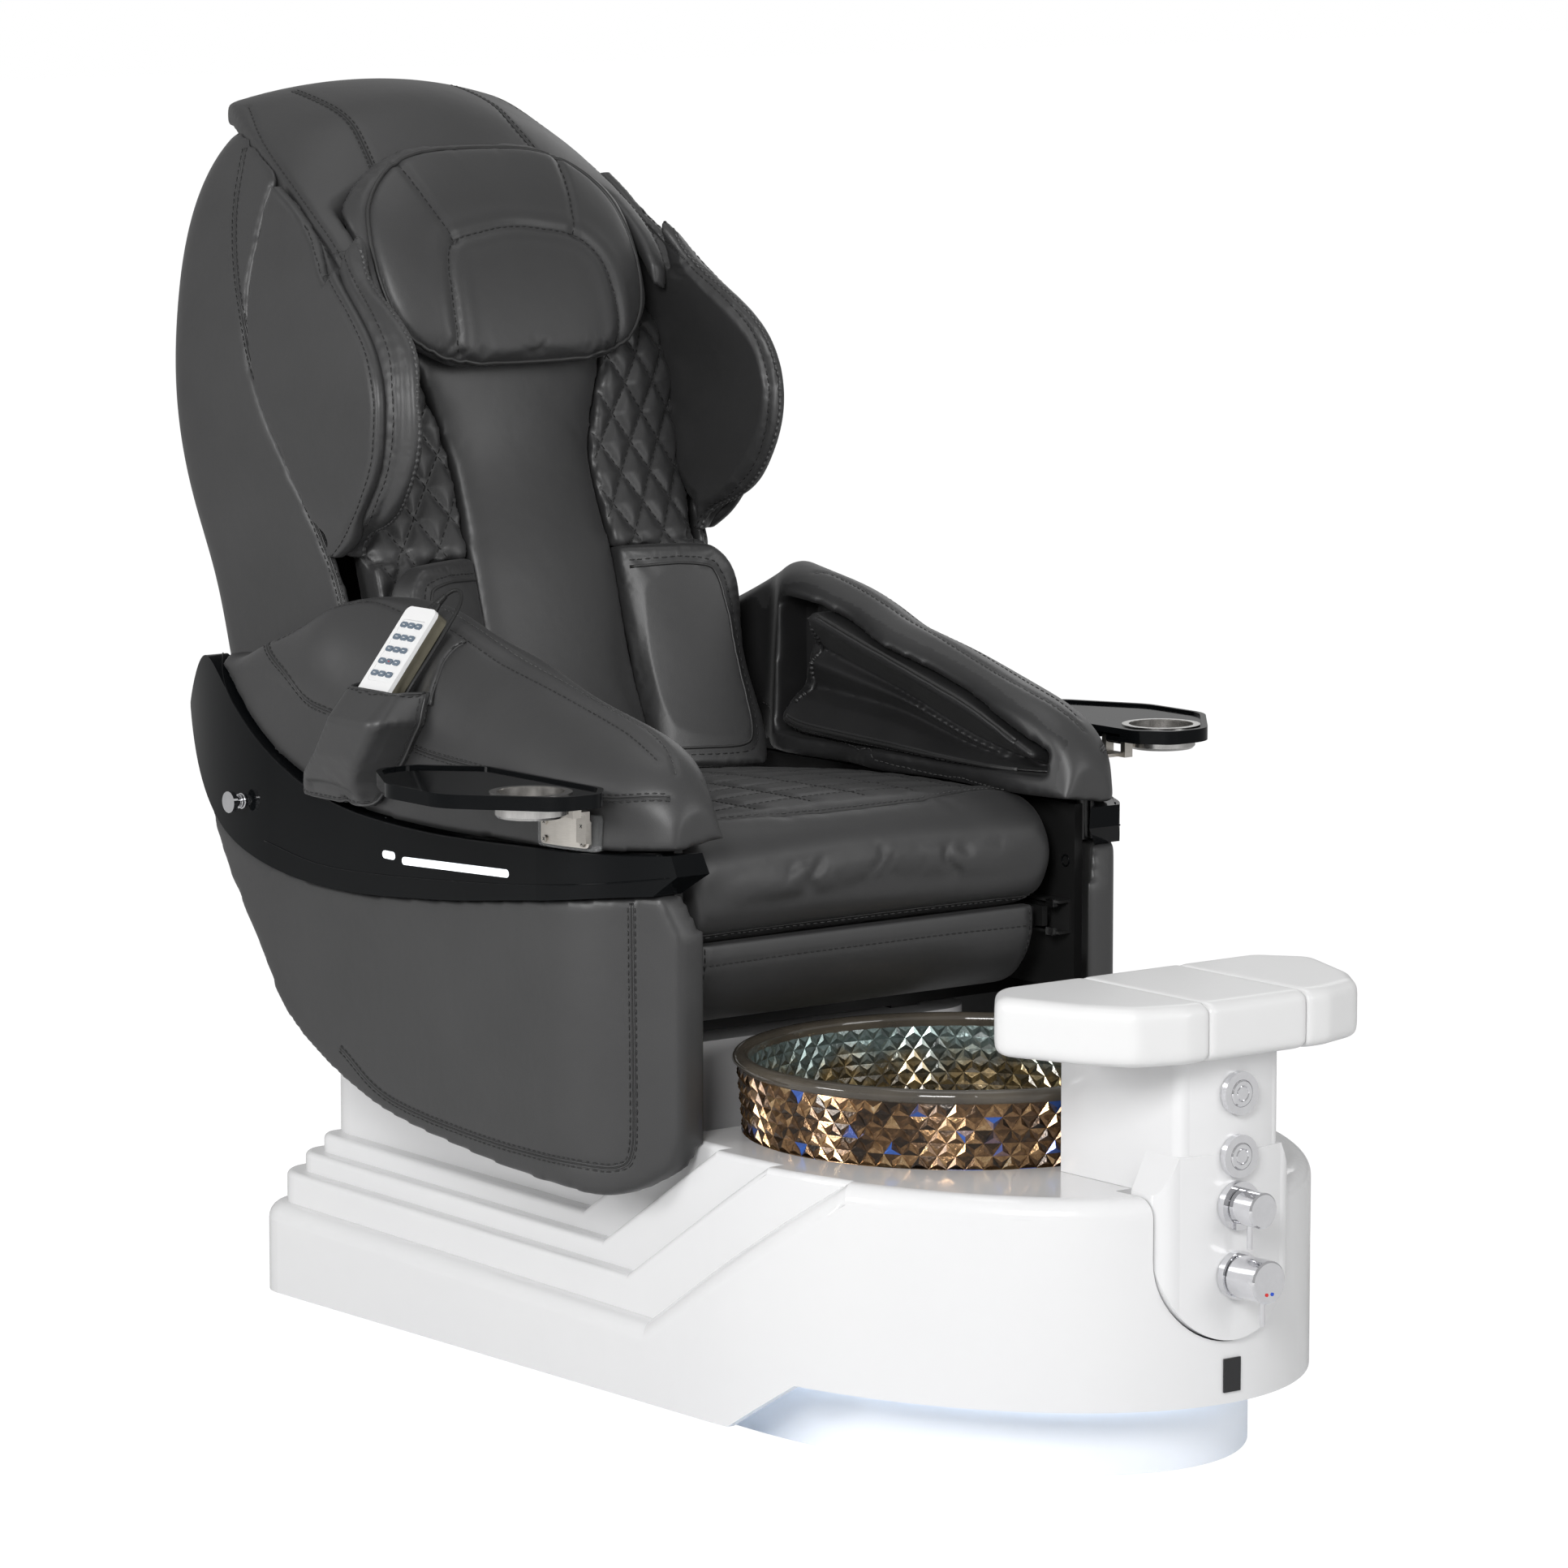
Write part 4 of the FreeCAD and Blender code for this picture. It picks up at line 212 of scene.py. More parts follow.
def bronzeGlass():  # hammered glass: every facet has its own tone, kept on the mesh; fine specks push it into painted gold and white glints, and a few blue facets are painted reflections
    glass = Shader("bronzeGlass", {"Specular IOR Level": 0.9, "IOR": 1.5, "Transmission Weight": 0.1})
    tone = glass.node("ShaderNodeAttribute", {"attribute_name": "tone"}, None, "Fac")
    tint = glass.node("ShaderNodeAttribute", {"attribute_name": "tint"}, None, "Fac")
    glintSpecks = glass.noise(150.0, 5, 0.8)
    mixed = tone * 0.72 + glintSpecks * 0.75 - 0.26
    # painted highlights: the pale cream top of this ramp, reached through the specks, stands for glints
    bronze = glass.node("ShaderNodeValToRGB", {"stops": [
        (0.0, rgb(0.006, 0.005, 0.004)), (1.0, rgb(0.9, 0.82, 0.66)), (0.28, rgb(0.03, 0.018, 0.01)),
        (0.5, rgb(0.13, 0.07, 0.032)), (0.7, rgb(0.34, 0.2, 0.095)), (0.86, rgb(0.62, 0.42, 0.22))]},
        {"Fac": mixed})
    glass.feed("Base Color", glass.blend(tint, bronze, rgb(0.06, 0.2, 0.75)))
    glass.feed("Metallic", 0.5 + 0.35 * tone)
    glass.feed("Roughness", 0.08 + 0.12 * glass.noise(160.0, 2))
    glass.bump(glass.noise(260.0, 3), 0.0004, 0.5)
    return glass.material


def tealGlass():
    glass = Shader("tealGlass", {"Specular IOR Level": 0.8, "IOR": 1.5, "Transmission Weight": 0.12})
    tone = glass.node("ShaderNodeAttribute", {"attribute_name": "tone"}, None, "Fac")
    high = glass.node("ShaderNodeSeparateXYZ", None, {"Vector": glass.place()}, "Z")
    mixed = tone * 0.6 + glass.noise(90.0, 5, 0.8) * 0.8 - 0.2
    teal = glass.node("ShaderNodeValToRGB", {"stops": [
        (0.0, rgb(0.014, 0.018, 0.017)), (1.0, rgb(0.7, 0.8, 0.76)), (0.4, rgb(0.08, 0.105, 0.1)),
        (0.72, rgb(0.2, 0.27, 0.26))]}, {"Fac": mixed})
    gold = glass.node("ShaderNodeValToRGB", {"stops": [
        (0.0, rgb(0.01, 0.008, 0.005)), (1.0, rgb(0.95, 0.82, 0.5)), (0.45, rgb(0.06, 0.045, 0.022)),
        (0.75, rgb(0.3, 0.21, 0.09))]}, {"Fac": mixed})
    low = (0.385 - high) * 22.0 + (glass.noise(24.0, 4) - 0.5) * 2.4
    glass.feed("Base Color", glass.blend(low.calc("MAXIMUM", 0.0).calc("MINIMUM", 1.0), teal, gold))
    glass.feed("Metallic", 0.25 + 0.4 * tone)
    glass.feed("Roughness", 0.08 + 0.1 * glass.noise(120.0, 2))
    glass.bump(glass.noise(200.0, 3), 0.0004, 0.5)
    return glass.material


def rimGlass():
    glass = Shader("rimGlass", {"Specular IOR Level": 0.7, "IOR": 1.5, "Transmission Weight": 0.35})
    swirl = glass.noise(9.0, 4)
    glass.feed("Base Color", glass.blend(swirl, rgb(0.02, 0.02, 0.02), rgb(0.2, 0.17, 0.13)))
    glass.feed("Roughness", 0.04 + 0.04 * swirl)
    return glass.material


handsetAxes = {"top": Vector((-0.337, 0.347, 0.888)), "down": Vector((-0.6225, 0.0, -0.7826)),
               "out": Vector((-0.7826, 0.0, 0.6225))}


def beyond(shader, way, distance):  # 1 past a distance from the handset's top end, outwards or down
    axis = handsetAxes[way]
    across = shader.node("ShaderNodeVectorMath", {"operation": "DOT_PRODUCT"}, {0: shader.place(), 1: axis},
                         "Value")
    return across > (handsetAxes["top"].dot(axis) + distance)


def handsetSkin():  # pale face, bronze flanks, black neck for the cord
    shell = Shader("handsetSkin", {"Specular IOR Level": 0.45})
    face, body = beyond(shell, "out", 0.0045), beyond(shell, "down", -0.001)
    flank = shell.blend(shell.noise(60.0), rgb(0.13, 0.12, 0.085), rgb(0.2, 0.185, 0.14))
    shell.feed("Base Color", shell.blend(body, rgb(0.012), shell.blend(face, flank, rgb(0.74))))
    shell.feed("Metallic", body * (0.7 - 0.7 * face))
    shell.feed("Roughness", 0.3 + 0.08 * shell.noise(120.0))
    shell.bump(shell.noise(500.0, 2), 0.00003, 0.4)
    return shell.material


def keyRubber():  # slate keys on a white mat
    rubber = Shader("keyRubber", {"Specular IOR Level": 0.35})
    slate = rubber.blend(rubber.noise(40.0), rgb(0.1, 0.13, 0.17), rgb(0.14, 0.18, 0.225))
    rubber.feed("Base Color", rubber.blend(beyond(rubber, "out", 0.0104), rgb(0.74), slate))
    rubber.feed("Roughness", 0.42 + 0.06 * rubber.noise(90.0))
    rubber.bump(rubber.noise(900.0, 2), 0.00006, 0.4)
    return rubber.material


def clearSheet():
    sheet = Shader("clearSheet", {"Transmission Weight": 0.9, "IOR": 1.2, "Specular IOR Level": 0.5})
    haze = sheet.noise(30.0, 3)
    sheet.feed("Base Color", sheet.blend(haze, rgb(0.82, 0.85, 0.86), rgb(0.95)))
    sheet.feed("Roughness", 0.06 + 0.06 * haze)
    return sheet.material


finish = {
    "leather_charcoal": leather("leatherCharcoal", rgb(0.021, 0.021, 0.0215), rgb(0.041, 0.041, 0.0415)),
    # darker copy of the leather: painted shade for the arm recesses and the air cushions that sit in them
    "leather_dark": leather("leatherDark", rgb(0.01, 0.01, 0.0105), rgb(0.022, 0.022, 0.0225), 0.4),
    "thread": leather("thread", rgb(0.004), rgb(0.015), 0.5, 0.5, 0.0),
    "thread_light": leather("threadLight", rgb(0.04), rgb(0.07), 0.5, 0.5, 0.0),
    "welt": leather("weltLeather", rgb(0.012), rgb(0.03), 0.42, 0.6, 0.0),
    "white_gloss": moulded("whiteGloss", rgb(0.68, 0.68, 0.69), rgb(0.72, 0.72, 0.72), 0.13, 0.5, 0.35),
    "white_pad": moulded("whitePad", rgb(0.68), rgb(0.72), 0.3, 0.4, 0.08, 700.0, 0.00005),
    "black_gloss": moulded("blackGloss", rgb(0.0025, 0.003, 0.0035), rgb(0.004, 0.0045, 0.005), 0.05, 0.1,
                           0.0),
    "black_plastic": moulded("blackPlastic", rgb(0.008), rgb(0.016), 0.38, 0.3, 0.0, 900.0, 0.00008),
    "plinth_white": moulded("plinthWhite", rgb(0.74, 0.76, 0.8), rgb(0.8, 0.82, 0.85), 0.35, 0.4),
    "led_glow": glowing("ledGlow", rgb(0.55, 0.72, 1.0), 5.0, rgb(0.7, 0.8, 1.0)),
    "light_diffuser": glowing("lightDiffuser", rgb(0.95, 0.97, 1.0), 1.1, rgb(0.85)),
    "foot_rubber": moulded("footRubber", rgb(0.012), rgb(0.025), 0.6, 0.3, 0.0, 500.0, 0.0002),
    "steel_painted": moulded("steelPainted", rgb(0.012), rgb(0.024), 0.4, 0.35, 0.05, 800.0, 0.0001),
    "chrome_trim": metal("chromeTrim", rgb(0.72, 0.72, 0.74), rgb(0.86, 0.86, 0.88), 0.05),
    "nickel_satin": metal("nickelSatin", rgb(0.5, 0.47, 0.43), rgb(0.66, 0.63, 0.58), 0.24, (1, 1, 14)),
    "brushed_cup": metal("brushedCup", rgb(0.42, 0.41, 0.4), rgb(0.74, 0.73, 0.71), 0.2, (12, 12, 1), 60.0),
    "rod_steel": metal("rodSteel", rgb(0.5), rgb(0.64), 0.18, (1, 9, 9)),
    "plate_dark": moulded("plateDark", rgb(0.008), rgb(0.014, 0.014, 0.016), 0.25, 0.4, 0.2),
    "cord_black": moulded("cordBlack", rgb(0.008), rgb(0.02), 0.45, 0.3, 0.0, 600.0, 0.0001),
    "dot_red": moulded("dotRed", rgb(0.5, 0.01, 0.01), rgb(0.65, 0.03, 0.03), 0.2),
    "dot_blue": moulded("dotBlue", rgb(0.01, 0.05, 0.4), rgb(0.03, 0.1, 0.6), 0.2),
    "handset_white": handsetSkin(),
    "key_slate": keyRubber(),
    "key_mark": moulded("keyMark", rgb(0.6), rgb(0.75), 0.5),
    "bronze_glass": bronzeGlass(),
    "teal_glass": tealGlass(),
    "rim_glass": rimGlass(),
    "clear_sheet": clearSheet(),
}
print("stage: finishes made")


def paint(piece, look):
    piece.data.materials.clear()
    piece.data.materials.append(finish[look])
    return piece


def newPiece(name, verts, faces, look, body, smooth=True):
    mesh = bpy.data.meshes.new(name)
    mesh.from_pydata([tuple(v) for v in verts], [], faces)
    mesh.update()
    mesh.polygons.foreach_set("use_smooth", [smooth] * len(mesh.polygons))
    piece = bpy.data.objects.new(name, mesh)
    scene.collection.objects.link(piece)
    paint(piece, look)
    if body:
        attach(piece, body)
    return piece


def islandsOf(node):  # the separate solids of a node as (verts, faces)
    mesh = nodes[node].data
    spots = np.array([v.co[:] for v in mesh.vertices])
    keys = {}
    same = np.empty(len(spots), int)
    for i, spot in enumerate(np.round(spots, 6)):
        same[i] = keys.setdefault(tuple(spot), len(keys))
    unique = np.array(list(keys))
    faces = [[same[i] for i in face.vertices] for face in mesh.polygons]
    faces = [face for face in faces if len(set(face)) == len(face)]
    parent = list(range(len(unique)))

    def root(i):
        while parent[i] != i:
            parent[i] = parent[parent[i]]
            i = parent[i]
        return i

    for face in faces:
        for a, b in zip(face, face[1:]):
            parent[root(a)] = root(b)
    groups = {}
    for face in faces:
        groups.setdefault(root(face[0]), []).append(face)
    out = []
    for group in groups.values():
        used = sorted({i for face in group for i in face})
        index = {old: new for new, old in enumerate(used)}
        out.append((unique[used], [[index[i] for i in face] for face in group]))
    return sorted(out, key=lambda island: tuple(np.round(island[0].mean(0), 3)))


def fromNode(name, node):  # copy of a node's solids that can be reshaped
    verts, faces = [], []
    for spots, group in islandsOf(node):
        faces += [[i + len(verts) for i in face] for face in group]
        verts += [tuple(spot) for spot in spots]
    return newPiece(name, verts, faces, slotOf[node], None)


def settle(piece, modifier):  # apply what one modifier makes
    mesh = bpy.data.meshes.new_from_object(piece.evaluated_get(bpy.context.evaluated_depsgraph_get()))
    piece.modifiers.remove(modifier)
    old = piece.data
    piece.data = mesh
    bpy.data.meshes.remove(old)
    mesh.polygons.foreach_set("use_smooth", [True] * len(mesh.polygons))


def voxels(piece, size):
    remesh = piece.modifiers.new("voxels", "REMESH")
    remesh.mode, remesh.voxel_size, remesh.use_smooth_shade = "VOXEL", size, True
    settle(piece, remesh)
    return piece


def spotsOf(piece):
    spots = np.empty(len(piece.data.vertices) * 3)
    piece.data.vertices.foreach_get("co", spots)
    return spots.reshape(-1, 3)


def normalsOf(piece):
    normals = np.empty(len(piece.data.vertices) * 3)
    piece.data.vertex_normals.foreach_get("vector", normals)
    return normals.reshape(-1, 3)


def moveTo(piece, spots):
    piece.data.vertices.foreach_set("co", spots.ravel())
    piece.data.update()


def relax(piece, rounds, back=0.0, strength=0.5):  # smooths, then pushes out by back metres
    mesh = piece.data
    edges = np.empty(len(mesh.edges) * 2, int)
    mesh.edges.foreach_get("vertices", edges)
    a, b = edges.reshape(-1, 2).T
    spots = spotsOf(piece)
    degree = np.bincount(np.concatenate((a, b)), minlength=len(spots))[:, None]
    for step in range(rounds):
        total = np.zeros_like(spots)
        for axis in range(3):
            total[:, axis] = np.bincount(a, spots[b, axis], len(spots)) + np.bincount(b, spots[a, axis],
                                                                                      len(spots))
        spots = spots + strength * (total / degree - spots)
    moveTo(piece, spots)
    if back:
        moveTo(piece, spotsOf(piece) + normalsOf(piece) * back)
    return piece


def curveThrough(points, step=0.003, closed=False):  # even points on a smooth line through the given ones
    points = [Vector(p) for p in points]
    count = len(points)
    dense = []
    for i in range(count if closed else count - 1):
        if closed:
            p0, p1, p2, p3 = (points[(i + k) % count] for k in (-1, 0, 1, 2))
        else:
            p1, p2 = points[i], points[i + 1]
            p0 = points[i - 1] if i else p1 * 2 - p2
            p3 = points[i + 2] if i + 2 < count else p2 * 2 - p1
        parts = max(2, int((p2 - p1).length / step))
        for k in range(parts):
            t = k / parts
            dense.append(0.5 * ((2 * p1) + (p2 - p0) * t + (2 * p0 - 5 * p1 + 4 * p2 - p3) * t * t
                                + (3 * p1 - p0 - 3 * p2 + p3) * t ** 3))
    dense.append(points[0].copy() if closed else points[-1])
    return dense


def treeOf(piece):
    return BVHTree.FromPolygons([v.co for v in piece.data.vertices],
                                [p.vertices for p in piece.data.polygons])


def laid(points, piece, lift=0.0, closed=False, side=0.0, step=0.003, tree=None):
    # (place, normal) pairs on the piece's skin under a line
    tree = tree or treeOf(piece)
    out = []
    for spot in curveThrough(points, step, closed):
        place, normal, index, distance = tree.find_nearest(spot)
        if place is not None:
            out.append((place, normal))
    for _ in range(3 if len(out) > 8 and not closed else 0):
        middle = [out[0][0]] + [(a[0] + b[0] * 2 + c[0]) / 4 for a, b,
                                c in zip(out, out[1:], out[2:])] + [out[-1][0]]
        out = [tree.find_nearest(spot)[:2] for spot in middle]
    if side:
        moved = []
        for i, (place, normal) in enumerate(out):
            ahead = out[min(i + 1, len(out) - 1)][0] - out[max(i - 1, 0)][0]
            across = ahead.cross(normal)
            if across.length > 1e-9:
                place, normal, index, distance = tree.find_nearest(place + across.normalized() * side)
            moved.append((place, normal))
        out = moved
    return [(place + normal * lift, normal) for place, normal in out]


def groove(piece, lines, width, depth, swell=0.0):
    marks = np.array([tuple(place) for line in lines for place, normal in line])
    spots, normals = spotsOf(piece), normalsOf(piece)
    near = np.full(len(spots), 1e9)
    for start in range(0, len(spots), 4000):
        part = spots[start:start + 4000]
        near[start:start + 4000] = np.sqrt(((part[:, None] - marks[None]) ** 2).sum(2).min(1))
    drop = depth * np.exp(-(near / width) ** 2) - swell * np.exp(-((near - 3 * width) / (1.6 * width)) ** 2)
    moveTo(piece, spots - normals * drop[:, None])


def seam(line):  # line without its normals
    return [place for place, normal in line]


def stitches(name, lines, body, size=0.0046, gap=0.0022, radius=0.0008, look="thread"):
    verts, faces = [], []
    for line in lines:
        walked, start, pen = 0.0, None, True
        for (p, n), (q, m) in zip(line, line[1:]):
            if start is None:
                start = (p, n)
            walked += (q - p).length
            if pen and walked >= size:
                a, b, up = start[0], q, m
                along = (b - a).normalized()
                side = along.cross(up).normalized() * radius
                rise = up * radius
                base = len(verts)
                for t, k in ((0.0, 0.35), (0.25, 1.0), (0.75, 1.0), (1.0, 0.35)):
                    middle = a.lerp(b, t)
                    verts += [middle - side * k, middle + rise * k * 1.1, middle + side * k,
                              middle - rise * k]
                for ring in range(3):
                    for k in range(4):
                        i, j = base + ring * 4 + k, base + ring * 4 + (k + 1) % 4
                        faces.append((i, j, j + 4, i + 4))
                faces += [(base, base + 3, base + 2, base + 1), (base + 12, base + 13, base + 14, base + 15)]
                walked, start, pen = 0.0, None, False
            elif not pen and walked >= gap:
                walked, start, pen = 0.0, None, True
    return newPiece(name, verts, faces, look, body) if faces else None


def tube(name, spots, radius, look, body, closed=False, sides=8, profile=None):
    spots = [Vector(s) for s in spots]
    if closed and (spots[0] - spots[-1]).length < 1e-5:
        spots = spots[:-1]
    count = len(spots)
    up = Vector((0.13, 0.21, 0.97))
    verts, faces = [], []
    for i, spot in enumerate(spots):
        ahead = spots[(i + 1) % count if closed else min(i + 1, count - 1)]
        behind = spots[(i - 1) % count if closed else max(i - 1, 0)]
        along = (ahead - behind).normalized()
        steep = abs(along.dot(up)) >= 0.98
        across = (along.orthogonal() if steep else along.cross(up)).normalized()
        up = across.cross(along).normalized()
        size = radius * (profile(i / (count - 1)) if profile else 1.0)
        for k in range(sides):
            turn = 2 * math.pi * k / sides
            verts.append(spot + across * math.cos(turn) * size + up * math.sin(turn) * size)
    for i in range(count if closed else count - 1):
        for k in range(sides):
            a, b = i * sides + k, i * sides + (k + 1) % sides
            c, d = (a + sides) % len(verts), (b + sides) % len(verts)
            faces.append((a, b, d, c))
    if not closed:
        faces.append(tuple(reversed(range(sides))))
        faces.append(tuple(range(len(verts) - sides, len(verts))))
    return newPiece(name, verts, faces, look, body)


def mirrored(points):
    return [(-p[0], p[1], p[2]) for p in points]


def dress(piece, node):  # hands a finished soft piece to the frame
    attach(piece, bodyOf[node])
    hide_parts(node)


swelling = []  # pieces that the air pressure is still to fill


def puffLater(piece, pressure, cap):
    swelling.append((piece, pressure, cap))


def puffAll():
    if not swelling:
        return
    for piece, pressure, cap in swelling:
        cloth = piece.modifiers.new("cloth", "CLOTH")
        cloth.settings.use_pressure = True
        cloth.settings.uniform_pressure_force = pressure
        cloth.settings.effector_weights.gravity = 0
        cloth.settings.quality = 4
        cloth.settings.tension_stiffness = 30
        cloth.settings.compression_stiffness = 30
        cloth.settings.bending_stiffness = 2
        cloth.point_cache.frame_start, cloth.point_cache.frame_end = 1, 20
    for number in range(1, 21):
        scene.frame_set(number)
    view = bpy.context.evaluated_depsgraph_get()
    for piece, pressure, cap in swelling:
        moved = spotsOf(piece.evaluated_get(view))
        rest = spotsOf(piece)
        shift = moved - rest
        length = np.linalg.norm(shift, axis=1)[:, None]
        capped = rest + shift * np.minimum(1.0, cap / np.maximum(length, 1e-9))
        piece.modifiers.clear()
        moveTo(piece, capped)
    scene.frame_set(1)


cordSet = {"diameter": 0.0046, "route": [
    (-0.32679, 0.339, 0.90083), (-0.31708, 0.333, 0.91304), (-0.31178, 0.317, 0.91649),
    (-0.32017, 0.303, 0.90273),
    (-0.34383, 0.301, 0.87299), (-0.37122, 0.301, 0.83855), (-0.39861, 0.303, 0.80412),
    (-0.404, 0.318, 0.772),
    (-0.401, 0.34, 0.745), (-0.3935, 0.364, 0.728)]}
routeData = bpy.data.curves.new("cordRoute", "CURVE")
routeData.dimensions, routeData.resolution_u = "3D", 12
strand = routeData.splines.new("NURBS")
strand.points.add(len(cordSet["route"]) - 1)
for knot, spot in zip(strand.points, cordSet["route"]):
    knot.co = (*spot, 1.0)
strand.order_u, strand.use_endpoint_u = 3, True
routeObject = bpy.data.objects.new("cordRoute", routeData)
cordLine = [v.co.copy() for v in bpy.data.meshes.new_from_object(routeObject).vertices]
bpy.data.objects.remove(routeObject)
cord = tube("handsetCord", cordLine, cordSet["diameter"] / 2, "cord_black", None, sides=12)
reliefWay = (cordLine[3] - cordLine[0]).normalized()
reliefSpots = [cordLine[0] - reliefWay * 0.016 + reliefWay * 0.001 * k for k in range(27)]
tube("cordRelief", reliefSpots, 0.0062, "cord_black", "handset", sides=16,
              profile=lambda t: (1.0 - 0.42 * t) * (1.0 if int(t * 26) % 3 else 0.86))
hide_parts("handset_cord")
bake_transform(cord)

softSet = {  # piece: voxel, smoothing rounds, push back out, air pressure cap
    "hood": (0.004, 10, 0.002, 0.0), "pillow": (0.004, 8, 0.001, 0.007), "back_pad": (0.006, 6, 0.001, 0.003),
    "back_bolsters": (0.004, 5, 0.001, 0.0), "lumbar_flaps": (0.003, 8, 0.0015, 0.004),
    "back_shell": (0.005, 7, 0.001, 0.0), "wing_left": (0.003, 7, 0.001, 0.0),
    "wing_right": (0.003, 7, 0.001, 0.0),
    "shoulder_airbags": (0.003, 7, 0.0015, 0.004), "arm_left": (0.004, 7, 0.001, 0.0),
    "arm_right": (0.004, 7, 0.001, 0.0),
    "side_panel_left": (0.005, 5, 0.001, 0.0), "side_panel_right": (0.005, 5, 0.001, 0.0),
    "seat_cushion": (0.005, 10, 0.002, 0.003), "seat_skirt": (0.004, 3, 0.0005, 0.0),
    "handset_pocket": (0.0019, 16, 0.0012, 0.0),
    "footrest_centre": (0.004, 5, 0.001, 0.0), "footrest_end_left": (0.004, 5, 0.001, 0.0),
    "footrest_end_right": (0.004, 5, 0.001, 0.0)}
soft = {}
for node, (size, rounds, back, cap) in softSet.items():
    words = node.split("_")
    piece = fromNode(words[0] + "".join(w.title() for w in words[1:]) + "Cover", node)
    voxels(piece, size)
    relax(piece, rounds, back)
    if cap:
        puffLater(piece, 4.0, cap)
    soft[node] = piece
print("stage: covers cut")
puffAll()
print("stage: covers filled")

# quilting of the back's side pads
quilt = {"pitch": 0.074, "slope": 1.5, "depth": 0.0042, "width": 0.0055, "inner": 0.112, "outer": 0.262}


def quiltDrop(piece):
    spots, normals = spotsOf(piece), normalsOf(piece)
    across, up = np.abs(spots[:, 0]), spots[:, 2] / math.cos(math.radians(14.6))
    scale = math.sqrt(1 + quilt["slope"] ** 2)
    gaps = []
    for sign in (-1, 1):
        along = (up + sign * quilt["slope"] * across) % quilt["pitch"]
        gaps.append(np.minimum(along, quilt["pitch"] - along) / scale)
    near = np.minimum(*gaps)
    facing = np.clip((-normals[:, 1] - 0.15) / 0.4, 0, 1)
    swell = 0.0022 * np.clip(near / 0.016, 0, 1) ** 1.5
    drop = (quilt["depth"] * np.exp(-(near / quilt["width"]) ** 2) - swell) * facing
    moveTo(piece, spots - normals * drop[:, None])


def quiltLines(piece):
    tree = treeOf(piece)
    lean = math.cos(math.radians(14.6))
    lines = []
    for side in (-1, 1):
        for sign in (-1, 1):
            for k in range(2, 28):
                line = []
                for step in range(76):
                    across = quilt["inner"] + (quilt["outer"] - quilt["inner"]) * step / 75
                    up = (k * quilt["pitch"] - sign * quilt["slope"] * across) * lean
                    place, normal, index, distance = tree.ray_cast(Vector((side * across, 0.2, up)),
                                                                   Vector((0, 1, 0)))
                    if place is not None and normal.y < -0.3 and 0.6 < up < 1.3:
                        line.append((place + normal * 0.0003, normal))
                    else:
                        if len(line) > 4:
                            lines.append(line)
                        line = []
                if len(line) > 4:
                    lines.append(line)
    return lines


quiltDrop(soft["back_bolsters"])
stitches("quiltThread", quiltLines(soft["back_bolsters"]), "back", 0.0042, 0.0024, 0.0009)

def sew(piece, name, points, body, width=0.0034, depth=0.0016, twin=0.0042, closed=False, swell=0.0,
        ridge=0.0,
        thread="thread"):  # a stitched line: groove, one or two rows of stitches, a pair of raised edges
    onSkin = laid(points, piece, 0.0, closed)
    groove(piece, [onSkin], width, depth, swell)
    rows = []
    for side in ((-twin, twin) if twin else (0.0,)):
        rows.append(laid(points, piece, 0.0004, closed, side))
    stitches(name, rows, body, look=thread)
    if ridge:
        tube(name + "Line", seam(laid(points, piece, 0.0002, closed, 0.0, 0.005)), 0.0009, "thread", body,
             closed)
    for side in (-ridge, ridge) if ridge else ():
        line = seam(laid(points, piece, 0.0, closed, side, 0.005))
        tube(name + "Edge", line, ridge * 0.62, "leather_charcoal", body, closed)


def pipe(piece, name, points, body, radius=0.002, row=0.0, lift=0.0005, closed=False, look="welt",
         pucker=0.0):
    spots = seam(laid(points, piece, lift, closed, 0.0, 0.0012 if pucker else 0.006))
    tube(name, spots, radius, look, body, closed,
         profile=(lambda t: 1.0 + pucker * math.sin(t * len(spots) * 0.9)) if pucker else None)
    if row:
        stitches(name + "Thread", [laid(points, piece, 0.0004, closed, row)], body)


